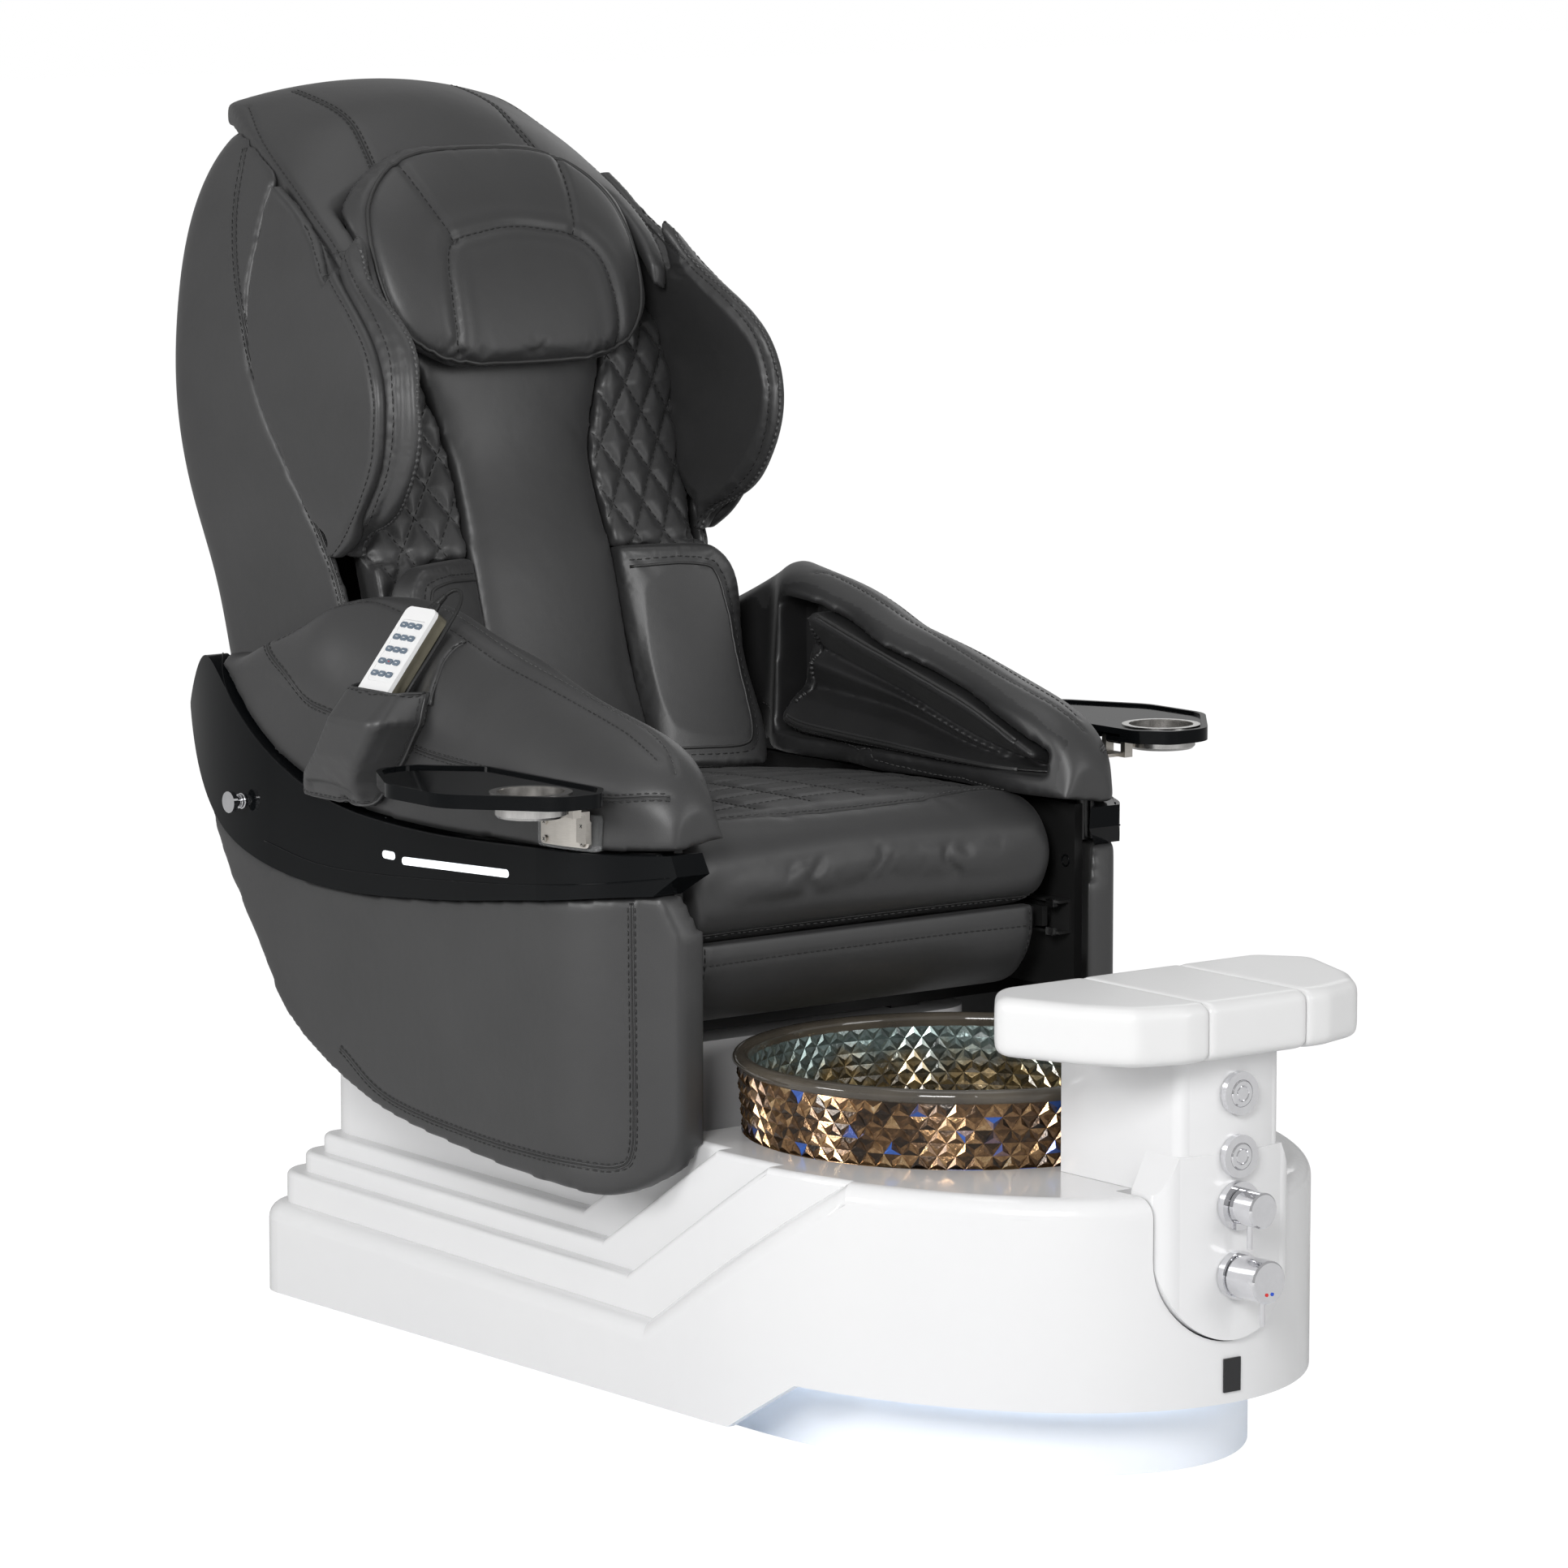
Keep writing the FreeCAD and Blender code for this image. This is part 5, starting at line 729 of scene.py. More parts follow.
# seams, given on the right-hand side of the chair and mirrored where both sides have them
seamSet = {  # name: piece, body, way of sewing, points
    "hoodPanel": ("hood", "back", "felled", [
        (-0.12, 0.94, 1.466), (-0.12, 0.901, 1.461), (-0.117, 0.825, 1.435), (-0.123, 0.782, 1.403),
        (-0.13, 0.75, 1.372), (-0.138, 0.70, 1.33)]),
    "hoodEdge": ("hood", "back", "plain", [
        (-0.189, 0.939, 1.45), (-0.217, 0.863, 1.409), (-0.234, 0.756, 1.348), (-0.237, 0.686, 1.298),
        (-0.233, 0.646, 1.251)]),
    "shell": ("back_shell", "back", "felled", [
        (-0.227, 0.89, 1.404), (-0.251, 0.875, 1.338), (-0.273, 0.845, 1.271), (-0.291, 0.802, 1.195),
        (-0.294, 0.766, 1.129), (-0.293, 0.721, 1.062), (-0.291, 0.667, 0.988), (-0.285, 0.626, 0.917),
        (-0.28, 0.6, 0.84)]),
    "wing": ("wing", "back", "plain", [
        (-0.2886, 0.621, 0.926), (-0.2957, 0.567, 0.973), (-0.3006, 0.535, 1.012), (-0.3025, 0.514, 1.05),
        (-0.304, 0.506, 1.092), (-0.3032, 0.508, 1.13), (-0.2957, 0.534, 1.177), (-0.2873, 0.582, 1.22),
        (-0.2754, 0.649, 1.27), (-0.2568, 0.709, 1.33)]),
    "leaf": ("shoulder_airbags", "back", "plain", [
        (-0.272, 0.613, 0.926), (-0.2791, 0.555, 0.973), (-0.284, 0.519, 1.012), (-0.2859, 0.497, 1.05),
        (-0.2874, 0.487, 1.092), (-0.2866, 0.489, 1.13), (-0.2791, 0.507, 1.177), (-0.2707, 0.552, 1.22),
        (-0.2588, 0.619, 1.27), (-0.2402, 0.691, 1.33)]),
    "leafPad": ("shoulder_airbags", "back", "plain", [
        (-0.2456, 0.61, 0.926), (-0.2527, 0.542, 0.973), (-0.2576, 0.499, 1.012), (-0.2595, 0.478, 1.05),
        (-0.261, 0.469, 1.092), (-0.2602, 0.473, 1.13), (-0.2527, 0.49, 1.177), (-0.2443, 0.54, 1.22),
        (-0.2324, 0.618, 1.27), (-0.2138, 0.692, 1.33)]),
    "arm": ("arm", "base", "felled", [
        (-0.36, 0.66, 0.83), (-0.386, 0.581, 0.8), (-0.384, 0.535, 0.77), (-0.384, 0.477, 0.759),
        (-0.384, 0.321, 0.737), (-0.384, 0.251, 0.73), (-0.385, 0.1, 0.723), (-0.369, -0.027, 0.715),
        (-0.318, -0.098, 0.718)]),
    "armCrest": ("arm", "base", "plain", [
        (-0.368, 0.62, 0.832), (-0.346, 0.5, 0.886), (-0.334, 0.479, 0.89), (-0.327, 0.453, 0.887),
        (-0.324, 0.419, 0.881), (-0.319, 0.354, 0.873), (-0.316, 0.259, 0.846), (-0.313, 0.136, 0.817),
        (-0.307, 0.017, 0.785), (-0.31, -0.068, 0.754)]),
    "armRim": ("arm", "base", "light", [
        (-0.279, 0.4, 0.888), (-0.291, 0.374, 0.885), (-0.291, 0.215, 0.84), (-0.282, 0.018, 0.789),
        (-0.288, -0.049, 0.768), (-0.301, -0.086, 0.742)]),
    "armRimLow": ("arm", "base", "light", [
        (-0.296, 0.527, 0.713), (-0.267, 0.391, 0.694), (-0.238, 0.179, 0.675), (-0.235, -0.023, 0.668)]),
    "panel": ("side_panel", "base", "felled", [
        (-0.39, 0.46, 0.36), (-0.39, 0.36, 0.314), (-0.39, 0.175, 0.295), (-0.383, -0.008, 0.292),
        (-0.362, -0.058, 0.294), (-0.355, -0.0745, 0.316), (-0.354, -0.075, 0.424), (-0.354, -0.074, 0.518),
        (-0.355, -0.074, 0.599)]),
    "skirtEnd": ("seat_skirt", "seat", "plain", [
        (-0.241, -0.062, 0.532), (-0.241, -0.058, 0.5), (-0.241, -0.036, 0.466), (-0.241, 0.03, 0.442)]),
    "flap": ("lumbar_flaps", "back", "edged", [
        (-0.12, 0.568, 0.899), (-0.2, 0.53, 0.9), (-0.224, 0.508, 0.882), (-0.231, 0.48, 0.8),
        (-0.228, 0.455, 0.71), (-0.218, 0.44, 0.676), (-0.196, 0.443, 0.667), (-0.12, 0.474, 0.667)])}
weltShift = Vector((-0.009, -0.012, 0.0))  # from the leaf's seam to the welt beside it
seamSet["leafWelt"] = ("shoulder_airbags", "back", "puckered", [
    tuple(Vector(spot) + weltShift) for spot in seamSet["leafPad"][3]])
for name, (node, body, way, points) in seamSet.items():
    for side, tag in ((-1, "Right"), (1, "Left")):
        line = points if side < 0 else mirrored(points)
        piece = soft.get(node) or soft[node + "_" + tag.lower()]
        if way == "puckered":
            pipe(piece, name + tag, line, body, 0.0026, 0.0, -0.0006, pucker=0.22, look="leather_charcoal")
        elif way == "edged":
            sew(piece, name + tag, line, body, 0.004, 0.001, 0.0)
            tube(name + "Piping" + tag, seam(laid(line, piece, 0.0003, False, side * 0.0085, 0.006)), 0.0019,
                 "welt", body)
        elif way == "felled":
            sew(piece, name + tag, line, body, 0.005, 0.001, 0.0044, ridge=0.0018)
        else:
            sew(piece, name + tag, line, body, 0.0034, 0.0016, 0.0,
                thread="thread_light" if way == "light" else "thread")
print("stage: seams sewn")

# seat: piped front panel, squares sewn over the top, row along the apron
seatSet = {"front": [(0.0, -0.056, 0.543), (0.2, -0.054, 0.543), (0.245, -0.048, 0.552),
                     (0.262, -0.036, 0.585),
                     (0.268, -0.026, 0.625), (0.256, -0.012, 0.652), (0.231, -0.001, 0.665),
                     (0.12, -0.026, 0.669)],
           "across": [0.03 + 0.055 * k for k in range(7)], "along": [-0.2 + 0.08 * k for k in range(6)],
           "apron": [(-0.244, -0.06, 0.512), (-0.086, -0.06, 0.514), (0.095, -0.06, 0.514),
                     (0.244, -0.06, 0.512)]}
cushion = soft["seat_cushion"]
front = seatSet["front"] + [(0.0, -0.036, 0.67)] + mirrored(seatSet["front"][:0:-1])
groove(cushion, [laid(front, cushion, 0.0, True)], 0.005, 0.002, 0.0008)
pipe(cushion, "seatPiping", front, "seat", 0.0012, 0.0, 0.0, True)
stitches("seatThread", [laid(front, cushion, 0.0004, True, 0.005)], "seat", look="thread_light")
squares = [[(-0.22, y, 0.68), (0.22, y, 0.68)] for y in seatSet["across"]]
squares += [[(x, 0.0, 0.68), (x, 0.4, 0.67)] for x in seatSet["along"]]
quilting = [laid(line, cushion, 0.0) for line in squares]
groove(cushion, quilting, 0.006, 0.0025, 0.0006)
stitches("seatQuilting", [laid(line, cushion, 0.0004) for line in squares], "seat")
sew(soft["seat_skirt"], "apronThread", seatSet["apron"], "seat", 0.003, 0.0006, 0.0)
print("stage: seat sewn")

pillowSet = {"arch": [(-0.112, 0.602, 1.165), (-0.112, 0.613, 1.218), (-0.107, 0.631, 1.266),
                      (-0.092, 0.644, 1.294),
                      (-0.05, 0.648, 1.304), (0.0, 0.652, 1.309), (0.05, 0.648, 1.304), (0.092, 0.644, 1.294),
                      (0.122, 0.631, 1.266), (0.132, 0.615, 1.218), (0.132, 0.6, 1.165)],
             "spoke": [(-0.118, 0.728, 1.387), (-0.108, 0.682, 1.347), (-0.091, 0.646, 1.297)],
             "rim": [(0.0, 0.735, 1.4), (0.096, 0.729, 1.393), (0.15, 0.712, 1.37), (0.184, 0.688, 1.325),
                     (0.192, 0.643, 1.239), (0.168, 0.617, 1.183), (0.113, 0.6, 1.152), (0.0, 0.593, 1.14)]}
pillow = soft["pillow"]
rim = pillowSet["rim"] + mirrored(pillowSet["rim"][-2:0:-1])
sew(pillow, "pillowArchThread", pillowSet["arch"], "back", 0.006, 0.004, 0.0, swell=0.0012)
sew(pillow, "pillowSpokeRight", pillowSet["spoke"], "back", 0.006, 0.003, 0.0)
sew(pillow, "pillowSpokeLeft", mirrored(pillowSet["spoke"]), "back", 0.006, 0.003, 0.0)
groove(pillow, [laid(rim, pillow, 0.0, True)], 0.006, 0.003)
tube("pillowWelt", seam(laid(rim, pillow, 0.001, True, step=0.006)), 0.0028, "welt", "back", True)

# handset pocket: bulging bag with a flat stitched edge all round and a leaf behind the handset
pocketSet = {
    "edge": [(-0.382, 0.418, 0.8), (-0.392, 0.437, 0.768), (-0.394, 0.47, 0.722), (-0.397, 0.5, 0.69),
             (-0.4, 0.514, 0.667), (-0.409, 0.504, 0.664), (-0.411, 0.44, 0.664), (-0.41, 0.382, 0.664),
             (-0.398, 0.373, 0.667), (-0.394, 0.352, 0.69), (-0.392, 0.322, 0.722), (-0.391, 0.291, 0.768),
             (-0.381, 0.293, 0.8)],
    "mouth": [(-0.38, 0.417, 0.803), (-0.41, 0.401, 0.804), (-0.42, 0.385, 0.805), (-0.421, 0.347, 0.805),
              (-0.419, 0.307, 0.804), (-0.4, 0.296, 0.803), (-0.38, 0.293, 0.803)],
    "folds": [[(-0.424, 0.47, 0.677), (-0.427, 0.44, 0.68), (-0.424, 0.4, 0.679), (-0.408, 0.38, 0.675)],
              [(-0.424, 0.4, 0.69), (-0.415, 0.405, 0.676), (-0.41, 0.41, 0.665)]],
    "leafRight": [(-0.321, 0.293, 0.856), (-0.332, 0.299, 0.85), (-0.348, 0.3, 0.835), (-0.359, 0.295, 0.82),
                  (-0.37, 0.291, 0.805), (-0.382, 0.285, 0.79)],
    "leafLeft": [(-0.321, 0.383, 0.877), (-0.335, 0.384, 0.864), (-0.349, 0.386, 0.852),
                 (-0.36, 0.393, 0.838),
                 (-0.369, 0.399, 0.823), (-0.378, 0.419, 0.802)]}
pocket = soft["handset_pocket"]
spots, normals = spotsOf(pocket), normalsOf(pocket)
marks = np.array([tuple(place) for place, normal in laid(pocketSet["edge"], pocket, 0.0, False, 0.0, 0.006)])
reach = np.sqrt(((spots[:, None] - marks[None]) ** 2).sum(2).min(1))
outward = np.clip((normals @ np.array((-0.8, -0.56, 0.2)) - 0.1) / 0.7, 0, 1) * (spots[:, 0] < -0.388)
below = np.clip((0.8 - spots[:, 2]) / 0.03, 0, 1) * np.clip((spots[:, 2] - 0.68) / 0.03, 0, 1)
swell = 0.005 * outward * below * np.clip((reach - 0.004) / 0.03, 0, 1) ** 0.7
moveTo(pocket, spots + normals * swell[:, None])
groove(pocket, [laid(line, pocket) for line in pocketSet["folds"]], 0.006, 0.003, 0.0012)
pipe(pocket, "pocketEdge", pocketSet["edge"], "base", 0.0019, 0.0, 0.0002, look="leather_charcoal")
pipe(pocket, "pocketMouth", pocketSet["mouth"], "base", 0.0019, 0.0, 0.0002, look="leather_charcoal")
stitches("pocketThread", [laid(pocketSet["edge"], pocket, 0.0004, False, side) for side in (0.006, -0.006)]
         + [laid(pocketSet["mouth"], pocket, 0.0004, False, side) for side in (0.006, -0.006)], "base")
armTree = treeOf(soft["arm_right"])
leafLines = [laid(pocketSet[key], soft["arm_right"], 0.0, False, 0.0, 0.002, armTree)
             for key in ("leafRight", "leafLeft")]
leafSpots, leafFaces = [], []
for row in range(25):
    first, last = (line[round(row * (len(line) - 1) / 24)] for line in leafLines)
    for column in range(17):
        near, normal, index, distance = armTree.find_nearest(first[0].lerp(last[0], column / 16))
        for lift in (0.0, 0.003):
            leafSpots.append(near + normal * lift)
for row in range(24):
    for column in range(16):
        a = (row * 17 + column) * 2
        leafFaces += [(a + 1, a + 3, a + 37, a + 35), (a, a + 34, a + 36, a + 2)]
for a, b in [(row * 34, row * 34 + 34) for row in range(24)] + [(k * 2 + 2, k * 2) for k in range(16)]:
    leafFaces.append((a, a + 1, b + 1, b))
for a, b in [(row * 34 + 66, row * 34 + 32) for row in range(24)] + [(816 + k * 2,
                                                                      818 + k * 2) for k in range(16)]:
    leafFaces.append((a, a + 1, b + 1, b))
backLeaf = newPiece("pocketLeaf", leafSpots, leafFaces, "leather_charcoal", "base")
leafRim = pocketSet["leafLeft"][::-1] + pocketSet["leafRight"]
pipe(backLeaf, "pocketLeafEdge", leafRim, "base", 0.0017, 0.0, 0.0002, look="leather_charcoal")
stitches("pocketLeafThread", [laid(leafRim, backLeaf, 0.0004, False, side) for side in (0.006, -0.006)],
         "base")
print("stage: pocket sewn")

# air cushions in the arm recesses: a leaf above, a folded gusset, a leaf below
# each row runs from the back forwards
bellowSet = {
    "rows": [(0.316, [(0.36, 0.845), (0.283, 0.824), (0.204, 0.803), (0.126, 0.782), (0.049, 0.76),
                      (-0.06, 0.718)]),
             (0.243, [(0.358, 0.845), (0.283, 0.824), (0.204, 0.803), (0.126, 0.782), (0.049, 0.76),
                      (-0.06, 0.718)]),
             (0.240, [(0.366, 0.837), (0.283, 0.816), (0.204, 0.795), (0.126, 0.774), (0.049, 0.752),
                      (-0.06, 0.712)]),
             (0.268, [(0.392, 0.818), (0.31, 0.798), (0.22, 0.775), (0.12, 0.745), (0.02, 0.716),
                      (-0.06, 0.703)]),
             (0.292, [(0.417, 0.8), (0.335, 0.78), (0.24, 0.756), (0.116, 0.72), (0.02, 0.703),
                      (-0.06, 0.698)]),
             (0.277, [(0.406, 0.778), (0.32, 0.765), (0.216, 0.748), (0.092, 0.715), (0.01, 0.7),
                      (-0.06, 0.696)]),
             (0.292, [(0.436, 0.745), (0.349, 0.741), (0.238, 0.732), (0.113, 0.706), (0.02, 0.697),
                      (-0.06, 0.694)]),
             (0.268, [(0.428, 0.733), (0.34, 0.728), (0.22, 0.72), (0.1, 0.701), (0.01, 0.695),
                      (-0.06, 0.693)]),
             (0.241, [(0.42, 0.712), (0.37, 0.703), (0.204, 0.697), (0.1, 0.694), (0.02, 0.693),
                      (-0.06, 0.692)]),
             (0.244, [(0.412, 0.701), (0.363, 0.694), (0.204, 0.692), (0.1, 0.691), (0.02, 0.691),
                      (-0.06, 0.691)]),
             (0.316, [(0.412, 0.701), (0.363, 0.694), (0.204, 0.692), (0.1, 0.691), (0.02, 0.691),
                      (-0.06, 0.691)])],
    "stations": 100, "voxel": 0.003,
    "welt": [(0.258, 0.381, 0.83), (0.270, 0.39, 0.807), (0.274, 0.403, 0.779), (0.272, 0.412, 0.749),
             (0.262, 0.415, 0.725)]}


def evenly(line, count):  # the same line with a given number of even steps
    lengths = [0.0]
    for a, b in zip(line, line[1:]):
        lengths.append(lengths[-1] + (b - a).length)
    wanted = np.linspace(0, lengths[-1], count)
    spots = np.array([tuple(p) for p in line])
    return [Vector([float(np.interp(w, lengths, spots[:, axis])) for axis in range(3)]) for w in wanted]


for side, tag in ((-1, "Right"), (1, "Left")):
    rows = [evenly(curveThrough([(side * x, y, z) for y, z in points]), bellowSet["stations"])
            for x, points in bellowSet["rows"]]
    count = bellowSet["stations"]
    spots = [spot for row in rows for spot in row]
    faces = []
    for i in range(len(rows)):
        for k in range(count - 1):
            a, b = i * count + k, ((i + 1) % len(rows)) * count + k
            faces.append((a, a + 1, b + 1, b) if side > 0 else (a, b, b + 1, a + 1))
    ends = [tuple(i * count + k for i in range(len(rows))) for k in (0, count - 1)]
    faces += [ends[0][::side], ends[1][::-side]]
    # painted shade: the cushions and their puckered welt take the darker leather of the shaded recess
    cushionSide = newPiece("armCushion" + tag, spots, faces, "leather_dark", None)
    voxels(cushionSide, bellowSet["voxel"])
    relax(cushionSide, 5, 0.0012)
    leafTop = [rows[1][k] for k in range(2, count - 2, 6)]
    leafFoot = [rows[8][k] for k in range(2, count - 2, 6)]
    for name, line, offset in (("Upper", leafTop, 0.006), ("Lower", leafFoot, 0.006)):
        pipe(cushionSide, "cushion" + name + tag, line, "base", 0.0022, offset * side, 0.0004, look="welt")
        pipe(cushionSide, "cushionTwin" + name + tag, [spot + Vector((0.0012 * side, 0,
                                                                      -0.0045 if name == "Upper" else 0.0045))
                                                      for spot in line], "base", 0.0016, 0.0, 0.0002,
                                                      look="leather_charcoal")
    pipe(cushionSide, "cushionWelt" + tag, [(side * x, y, z) for x, y, z in bellowSet["welt"]], "base",
         0.0034, 0.0,
         -0.0004, look="leather_dark", pucker=0.3)
    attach(cushionSide, bodyOf["arm_airbags"])
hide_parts("arm_airbags")
print("stage: arm cushions folded")

# painted shade: the arm's inner faces below the crest line get the darker leather, standing for the recess's
# shade
recessShadeSet = {"y": [-0.12, -0.086, -0.049, 0.018, 0.215, 0.374, 0.4, 0.5, 0.62], "x": 0.302, "front": -0.096,
          "z": [0.715, 0.738, 0.76, 0.783, 0.834, 0.875, 0.878, 0.862, 0.82]}
for node in ("arm_left", "arm_right"):
    soft[node].data.materials.append(finish["leather_dark"])
    for face in soft[node].data.polygons:
        x, y, z = face.center
        if abs(x) < recessShadeSet["x"] and y > recessShadeSet["front"] and z < np.interp(y, recessShadeSet["y"], recessShadeSet["z"]):
            face.material_index = 1

for node, piece in soft.items():
    dress(piece, node)

bowlSet = {"centre": (0.0, -0.227), "floor": 0.262, "foot": 0.205, "waist": 0.246, "rim": 0.262,
           "waistUp": 0.045,
           "top": 0.413, "rimHigh": 0.016, "rows": 9, "columns": 76, "stud": 0.0036, "wall": 0.011}


def bowlRadius(height):  # outside radius at a height over the bowl's floor
    low, high = bowlSet["waistUp"], bowlSet["top"] - bowlSet["floor"] - bowlSet["rimHigh"]
    if height < low:
        return bowlSet["foot"] + (bowlSet["waist"] - bowlSet["foot"]) * height / low
    return bowlSet["waist"] + (bowlSet["rim"] - 0.008 - bowlSet["waist"]) * (height - low) / (high - low)


def facets(name, low, high, inside, look):  # diamond studs round the wall, flat faced
    rows, columns = bowlSet["rows"], bowlSet["columns"]
    cx, cy = bowlSet["centre"]
    chance = np.random.default_rng(7 if inside else 3)
    verts, faces, tones, blueGlints = [], [], [], []

    def ring(level, shift, out):
        height = low + (high - low) * level
        radius = bowlRadius(height) - (bowlSet["wall"] if inside else 0.0) + out
        for k in range(columns):
            turn = 2 * math.pi * (k + shift) / columns
            verts.append((cx + radius * math.cos(turn), cy + radius * math.sin(turn),
                          bowlSet["floor"] + height))

    for row in range(rows + 1):
        ring(row / rows, 0.5 * (row % 2), 0.0)
    push = -bowlSet["stud"] * 0.5 if inside else bowlSet["stud"]
    for row in range(rows):
        shift = 0.5 * (row % 2)
        ring((row + 0.45) / rows, shift + 0.5, push)
        ring((row + 0.55) / rows, shift + 1.0, push * 0.55)
    grid = (rows + 1) * columns
    for row in range(rows):
        odd = row % 2
        for k in range(columns):
            a, b = row * columns + k, row * columns + (k + 1) % columns
            first, second = grid + 2 * row * columns + k, grid + (2 * row + 1) * columns + k
            up = (row + 1) * columns + (k + odd) % columns
            faces.extend([(a, b, first), (b, up, first), (up, a, first)])
            nextUp = (row + 1) * columns + (k + odd + 1) % columns
            faces.extend([(b, nextUp, second), (nextUp, up, second), (up, b, second)])
            for _ in range(2):
                base = chance.random()
                # painted reflection: a few facets get a blue value that the glass turns into blue glints
                blue = 1.0 if chance.random() < (0.05 if not inside else 0.02) else 0.0
                for _ in range(3):
                    tones.append(min(1.0, max(0.0, base * 0.45 + chance.random() * 0.65)))
                    blueGlints.append(blue * chance.random())
    if inside:
        faces = [face[::-1] for face in faces]
    piece = newPiece(name, verts, faces, look, "base", False)
    for key, values in (("tone", tones), ("tint", blueGlints)):
        piece.data.attributes.new(key, "FLOAT", "FACE").data.foreach_set("value", values)
    return piece


def lathe(name, outline, look, body, centre, turns=96, smooth=True):
    verts, faces = [], []
    for k in range(turns):
        turn = 2 * math.pi * k / turns
        verts += [(centre[0] + r * math.cos(turn), centre[1] + r * math.sin(turn), z) for r, z in outline]
    size = len(outline)
    for k in range(turns):
        for i in range(size - 1):
            a, b = k * size + i, ((k + 1) % turns) * size + i
            faces.append((a, b, b + 1, a + 1))
    return newPiece(name, verts, faces, look, body, smooth)


wallHigh = bowlSet["top"] - bowlSet["floor"] - bowlSet["rimHigh"]
outer = facets("bowlStuds", 0.0, wallHigh, False, "bronze_glass")
inner = facets("bowlInside", bowlSet["wall"], wallHigh + 0.002, True, "teal_glass")
ringOut, ringIn = bowlSet["rim"] - 0.008, bowlSet["rim"] - 0.019
top = bowlSet["top"]
rimLine = [(ringOut, top - bowlSet["rimHigh"])]
for k in range(13):
    turn = math.pi * k / 12
    middle, half = (bowlSet["rim"] + ringIn - 0.001) / 2, (bowlSet["rim"] - ringIn + 0.001) / 2
    rimLine.append((middle + half * math.cos(turn), top - 0.008 + 0.008 * math.sin(turn)))
rimLine.append((ringIn, top - bowlSet["rimHigh"]))
lathe("bowlRim", rimLine, "rim_glass", "base", bowlSet["centre"], 128)
lathe("bowlFloor", [(0.023, bowlSet["floor"] + 0.0005), (bowlSet["foot"] - 0.001, bowlSet["floor"] + 0.0005)],
      "bronze_glass", "base", bowlSet["centre"])
lathe("bowlFloorInside", [(bowlRadius(bowlSet["wall"]) - bowlSet["wall"], bowlSet["floor"] + bowlSet["wall"]),
                          (0.023, bowlSet["floor"] + bowlSet["wall"])], "teal_glass", "base",
                          bowlSet["centre"])
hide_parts("bowl")
print("stage: bowl blown")

# tray brackets: metal and clear backing apart
clear, bright = [], []
for spots, faces in islandsOf("tray_brackets"):
    wide = np.ptp(spots[:, 0])
    (bright if wide > 0.03 else clear).append((spots, faces))
for label, group, look in (("bracketMetal", bright, "nickel_satin"),
                           ("bracketBacking", clear, "clear_sheet")):
    for number, (spots, faces) in enumerate(group):
        piece = newPiece(label + str(number), spots, faces, look, "base", False)
        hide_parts("tray_brackets")

# small trims: lines on the bands, marks on the keys, black crosses on the screws as painted shade of their
# recesses, clips, and a black ring at the rails as painted shade of a hole


def bar(name, middle, along, up, size, look, body):  # small block with its own directions
    along, up = Vector(along).normalized(), Vector(up).normalized()
    across = along.cross(up)
    spots = []
    for i, j, k in ((-1, -1, -1), (1, -1, -1), (1, 1, -1), (-1, 1, -1), (-1, -1, 1), (1, -1, 1), (1, 1, 1),
                    (-1, 1, 1)):
        spots.append(Vector(middle) + along * i * size[0] / 2
                     + across * j * size[1] / 2 + up * k * size[2] / 2)
    return newPiece(name, spots, [(0, 3, 2, 1), (4, 5, 6, 7), (0, 1, 5, 4), (1, 2, 6, 5), (2, 3, 7, 6),
                                  (3, 0, 4, 7)],
                    look, body, False)


trimSet = {
    "bevel": [(-0.398, 0.606, 0.593), (-0.398, 0.494, 0.579), (-0.398, 0.358, 0.582), (-0.398, 0.159, 0.597),
              (-0.398, 0.06, 0.607), (-0.373, -0.058, 0.621), (-0.33, -0.113, 0.63)],
    "top": [(-0.35, 0.765, 0.8), (-0.38, 0.72, 0.782), (-0.398, 0.668, 0.744), (-0.398, 0.6, 0.703),
            (-0.398, 0.52, 0.67),
            (-0.398, 0.44, 0.653), (-0.398, 0.366, 0.646), (-0.398, 0.268, 0.643), (-0.398, 0.17, 0.645),
            (-0.398, 0.06, 0.65), (-0.38, -0.04, 0.652), (-0.335, -0.105, 0.654)],
    "handset": {"first": 0.026, "row": 0.017, "pitch": 0.0145, "height": 0.0117},
    "screws": [(-0.022, 0.663), (0.036, 0.663), (-0.022, 0.683), (0.036, 0.683)],
    "clips": [(0.27, -0.066, 0.537), (0.27, -0.066, 0.503)]}
for side, node in ((-1, "band_right"), (1, "band_left")):
    for key, size in (("bevel", 0.0008), ("top", 0.0011)):
        line = trimSet[key] if side < 0 else mirrored(trimSet[key])
        tube(key + node.title(), seam(laid(line, nodes[node], 0.0002, False, 0.0, 0.006)), size,
             "black_gloss", bodyOf[node])
handset = trimSet["handset"]
down, out = handsetAxes["down"], handsetAxes["out"]
for row in range(5):
    for column in (-1, 0, 1):
        middle = (handsetAxes["top"] + out * handset["height"]
                  + down * (handset["first"] + row * handset["row"])
                  + Vector((0, column * handset["pitch"], 0)))
        red = row == 3 and column == 0
        bar("keyMark%d%d" % (row, column + 1), middle, (0, 1, 0), out,
            (0.0036 if red else 0.0042, 0.0009, 0.0003),
            "dot_red" if red else "key_mark", bodyOf["handset_keys"])
bracketTree = treeOf(nodes["tray_brackets"])
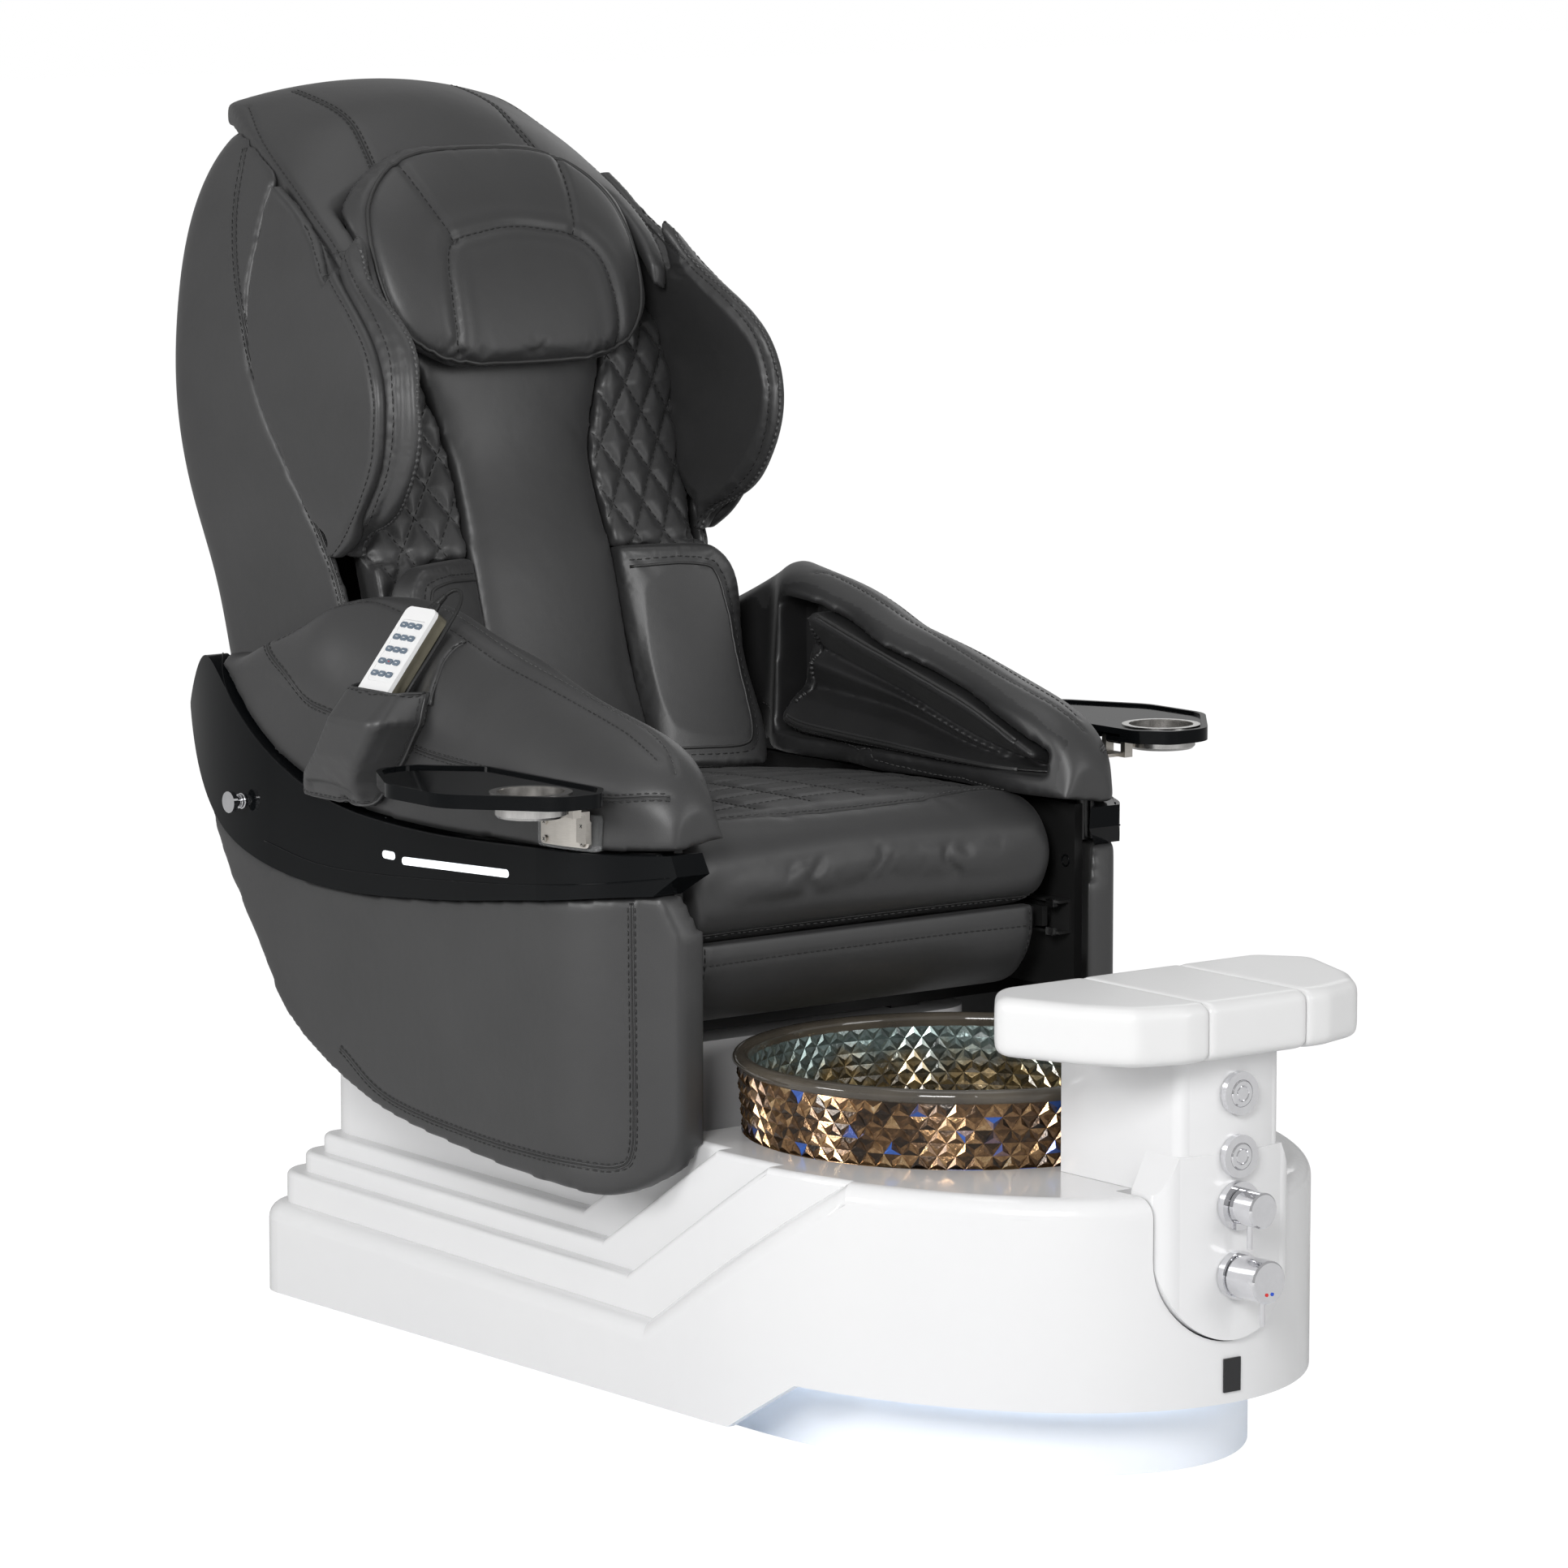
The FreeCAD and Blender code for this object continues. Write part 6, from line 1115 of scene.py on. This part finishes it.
for side, tag in ((-1, "Right"), (1, "Left")):
    # painted shade: thin black bars stand for the shaded cross recesses of the screw heads
    for number, (y, z) in enumerate(trimSet["screws"]):
        place, normal, index, distance = bracketTree.ray_cast(Vector((side * 0.7, y, z)),
                                                              Vector((-side, 0, 0)))
        for k, way in enumerate(((0, 1, 1), (0, 1, -1))):
            bar("screwCross%s%d%d" % (tag, number, k), place, way, normal, (0.0052, 0.0009, 0.0004),
                "black_plastic", "base")
    for number, (x, y, z) in enumerate(trimSet["clips"]):
        bar("railClip%s%d" % (tag, number), (side * x, y, z), (0, 1, 0), (side, 0, 0), (0.013, 0.009, 0.007),
            "rod_steel", bodyOf["seat_channels"])
    turns = [2 * math.pi * k / 24 for k in range(24)]
    # painted shade: a black gloss ring stands for the shaded round hole in the panel, which is not cut
    tube("panelHole" + tag, [(side * 0.2895, -0.068 + 0.0065 * math.cos(a),
                              0.586 + 0.0065 * math.sin(a)) for a in turns],
         0.001, "black_gloss", "base", True)
hookPlace = treeOf(nodes["band_right"]).ray_cast(Vector((-0.7, 0.658, 0.635)), Vector((1, 0, 0)))[0]
for reach, size in ((0.001, 0.0085), (0.0045, 0.0075)):
    tube("hookRing%d" % round(reach * 1e4), [(hookPlace.x - reach, 0.658 + size * math.cos(a),
                                              0.635 + size * math.sin(a))
                                             for a in turns], 0.0014, "chrome_trim", bodyOf["bag_hook"], True)
print("stage: trims placed")

# rigid nodes keep their solids and get their finishes
for node, shown in nodes.items():
    shown.data.materials.clear()
    shown.data.materials.append(finish[slotOf[node]])
print("stage: rigid parts finished")

floorData = bpy.data.meshes.new("floor")
floorData.from_pydata([(-30, -30, 0), (30, -30, 0), (30, 30, 0), (-30, 30, 0)], [], [(0, 1, 2, 3)])
floor = bpy.data.objects.new("floor", floorData)
floor.location.z = -0.001
scene.collection.objects.link(floor)
studio = {"paper": 0.7, "glow": 1.12, "share": 0.88, "sky": 0.42, "backdrop": 1.0}
paper = bpy.data.materials.new("paperFloor")
paper.use_nodes = True
sheet = Graph(paper.node_tree)
sheet.node("ShaderNodeOutputMaterial", None, {"Surface": sheet.node("ShaderNodeMixShader", None, {
    0: sheet.direct() * studio["share"], 1: sheet.node("ShaderNodeBsdfDiffuse", None,
                                                       {0: rgb(studio["paper"])}),
    2: sheet.node("ShaderNodeEmission", None, {0: rgb(1.0), 1: studio["glow"]})})})
floorData.materials.append(paper)

lampSet = {  # place, size, power in watts
    "keyLamp": ((-4.2, -3.6, 3.1), 1.7, 215.0), "frontLamp": ((1.8, -5.2, 2.2), 2.2, 70.0),
    "topLamp": ((0.3, 0.4, 4.6), 2.0, 14.0), "rimLamp": ((3.6, 2.6, 2.6), 1.8, 12.0),
    "leftLamp": ((-5.0, 1.4, 1.9), 1.4, 90.0)}
for label, (place, size, power) in lampSet.items():
    lamp = bpy.data.lights.new(label, "AREA")
    lamp.energy, lamp.size = power, size
    holder = bpy.data.objects.new(label, lamp)
    holder.location = place
    holder.rotation_euler = (Vector((0, 0.1, 0.7)) - Vector(place)).to_track_quat("-Z", "Y").to_euler()
    scene.collection.objects.link(holder)

world = bpy.data.worlds.new("studio")
scene.world = world
world.use_nodes = True
sky = Graph(world.node_tree)
sky.node("ShaderNodeOutputWorld", None, {"Surface": sky.node("ShaderNodeMixShader", None, {
    0: sky.direct(), 1: sky.node("ShaderNodeBackground", None, {0: rgb(1.0), 1: studio["sky"]}),
    2: sky.node("ShaderNodeBackground", None, {0: rgb(1.0), 1: studio["backdrop"]})})})
scene.view_settings.view_transform = "Standard"
print("stage: studio lit")
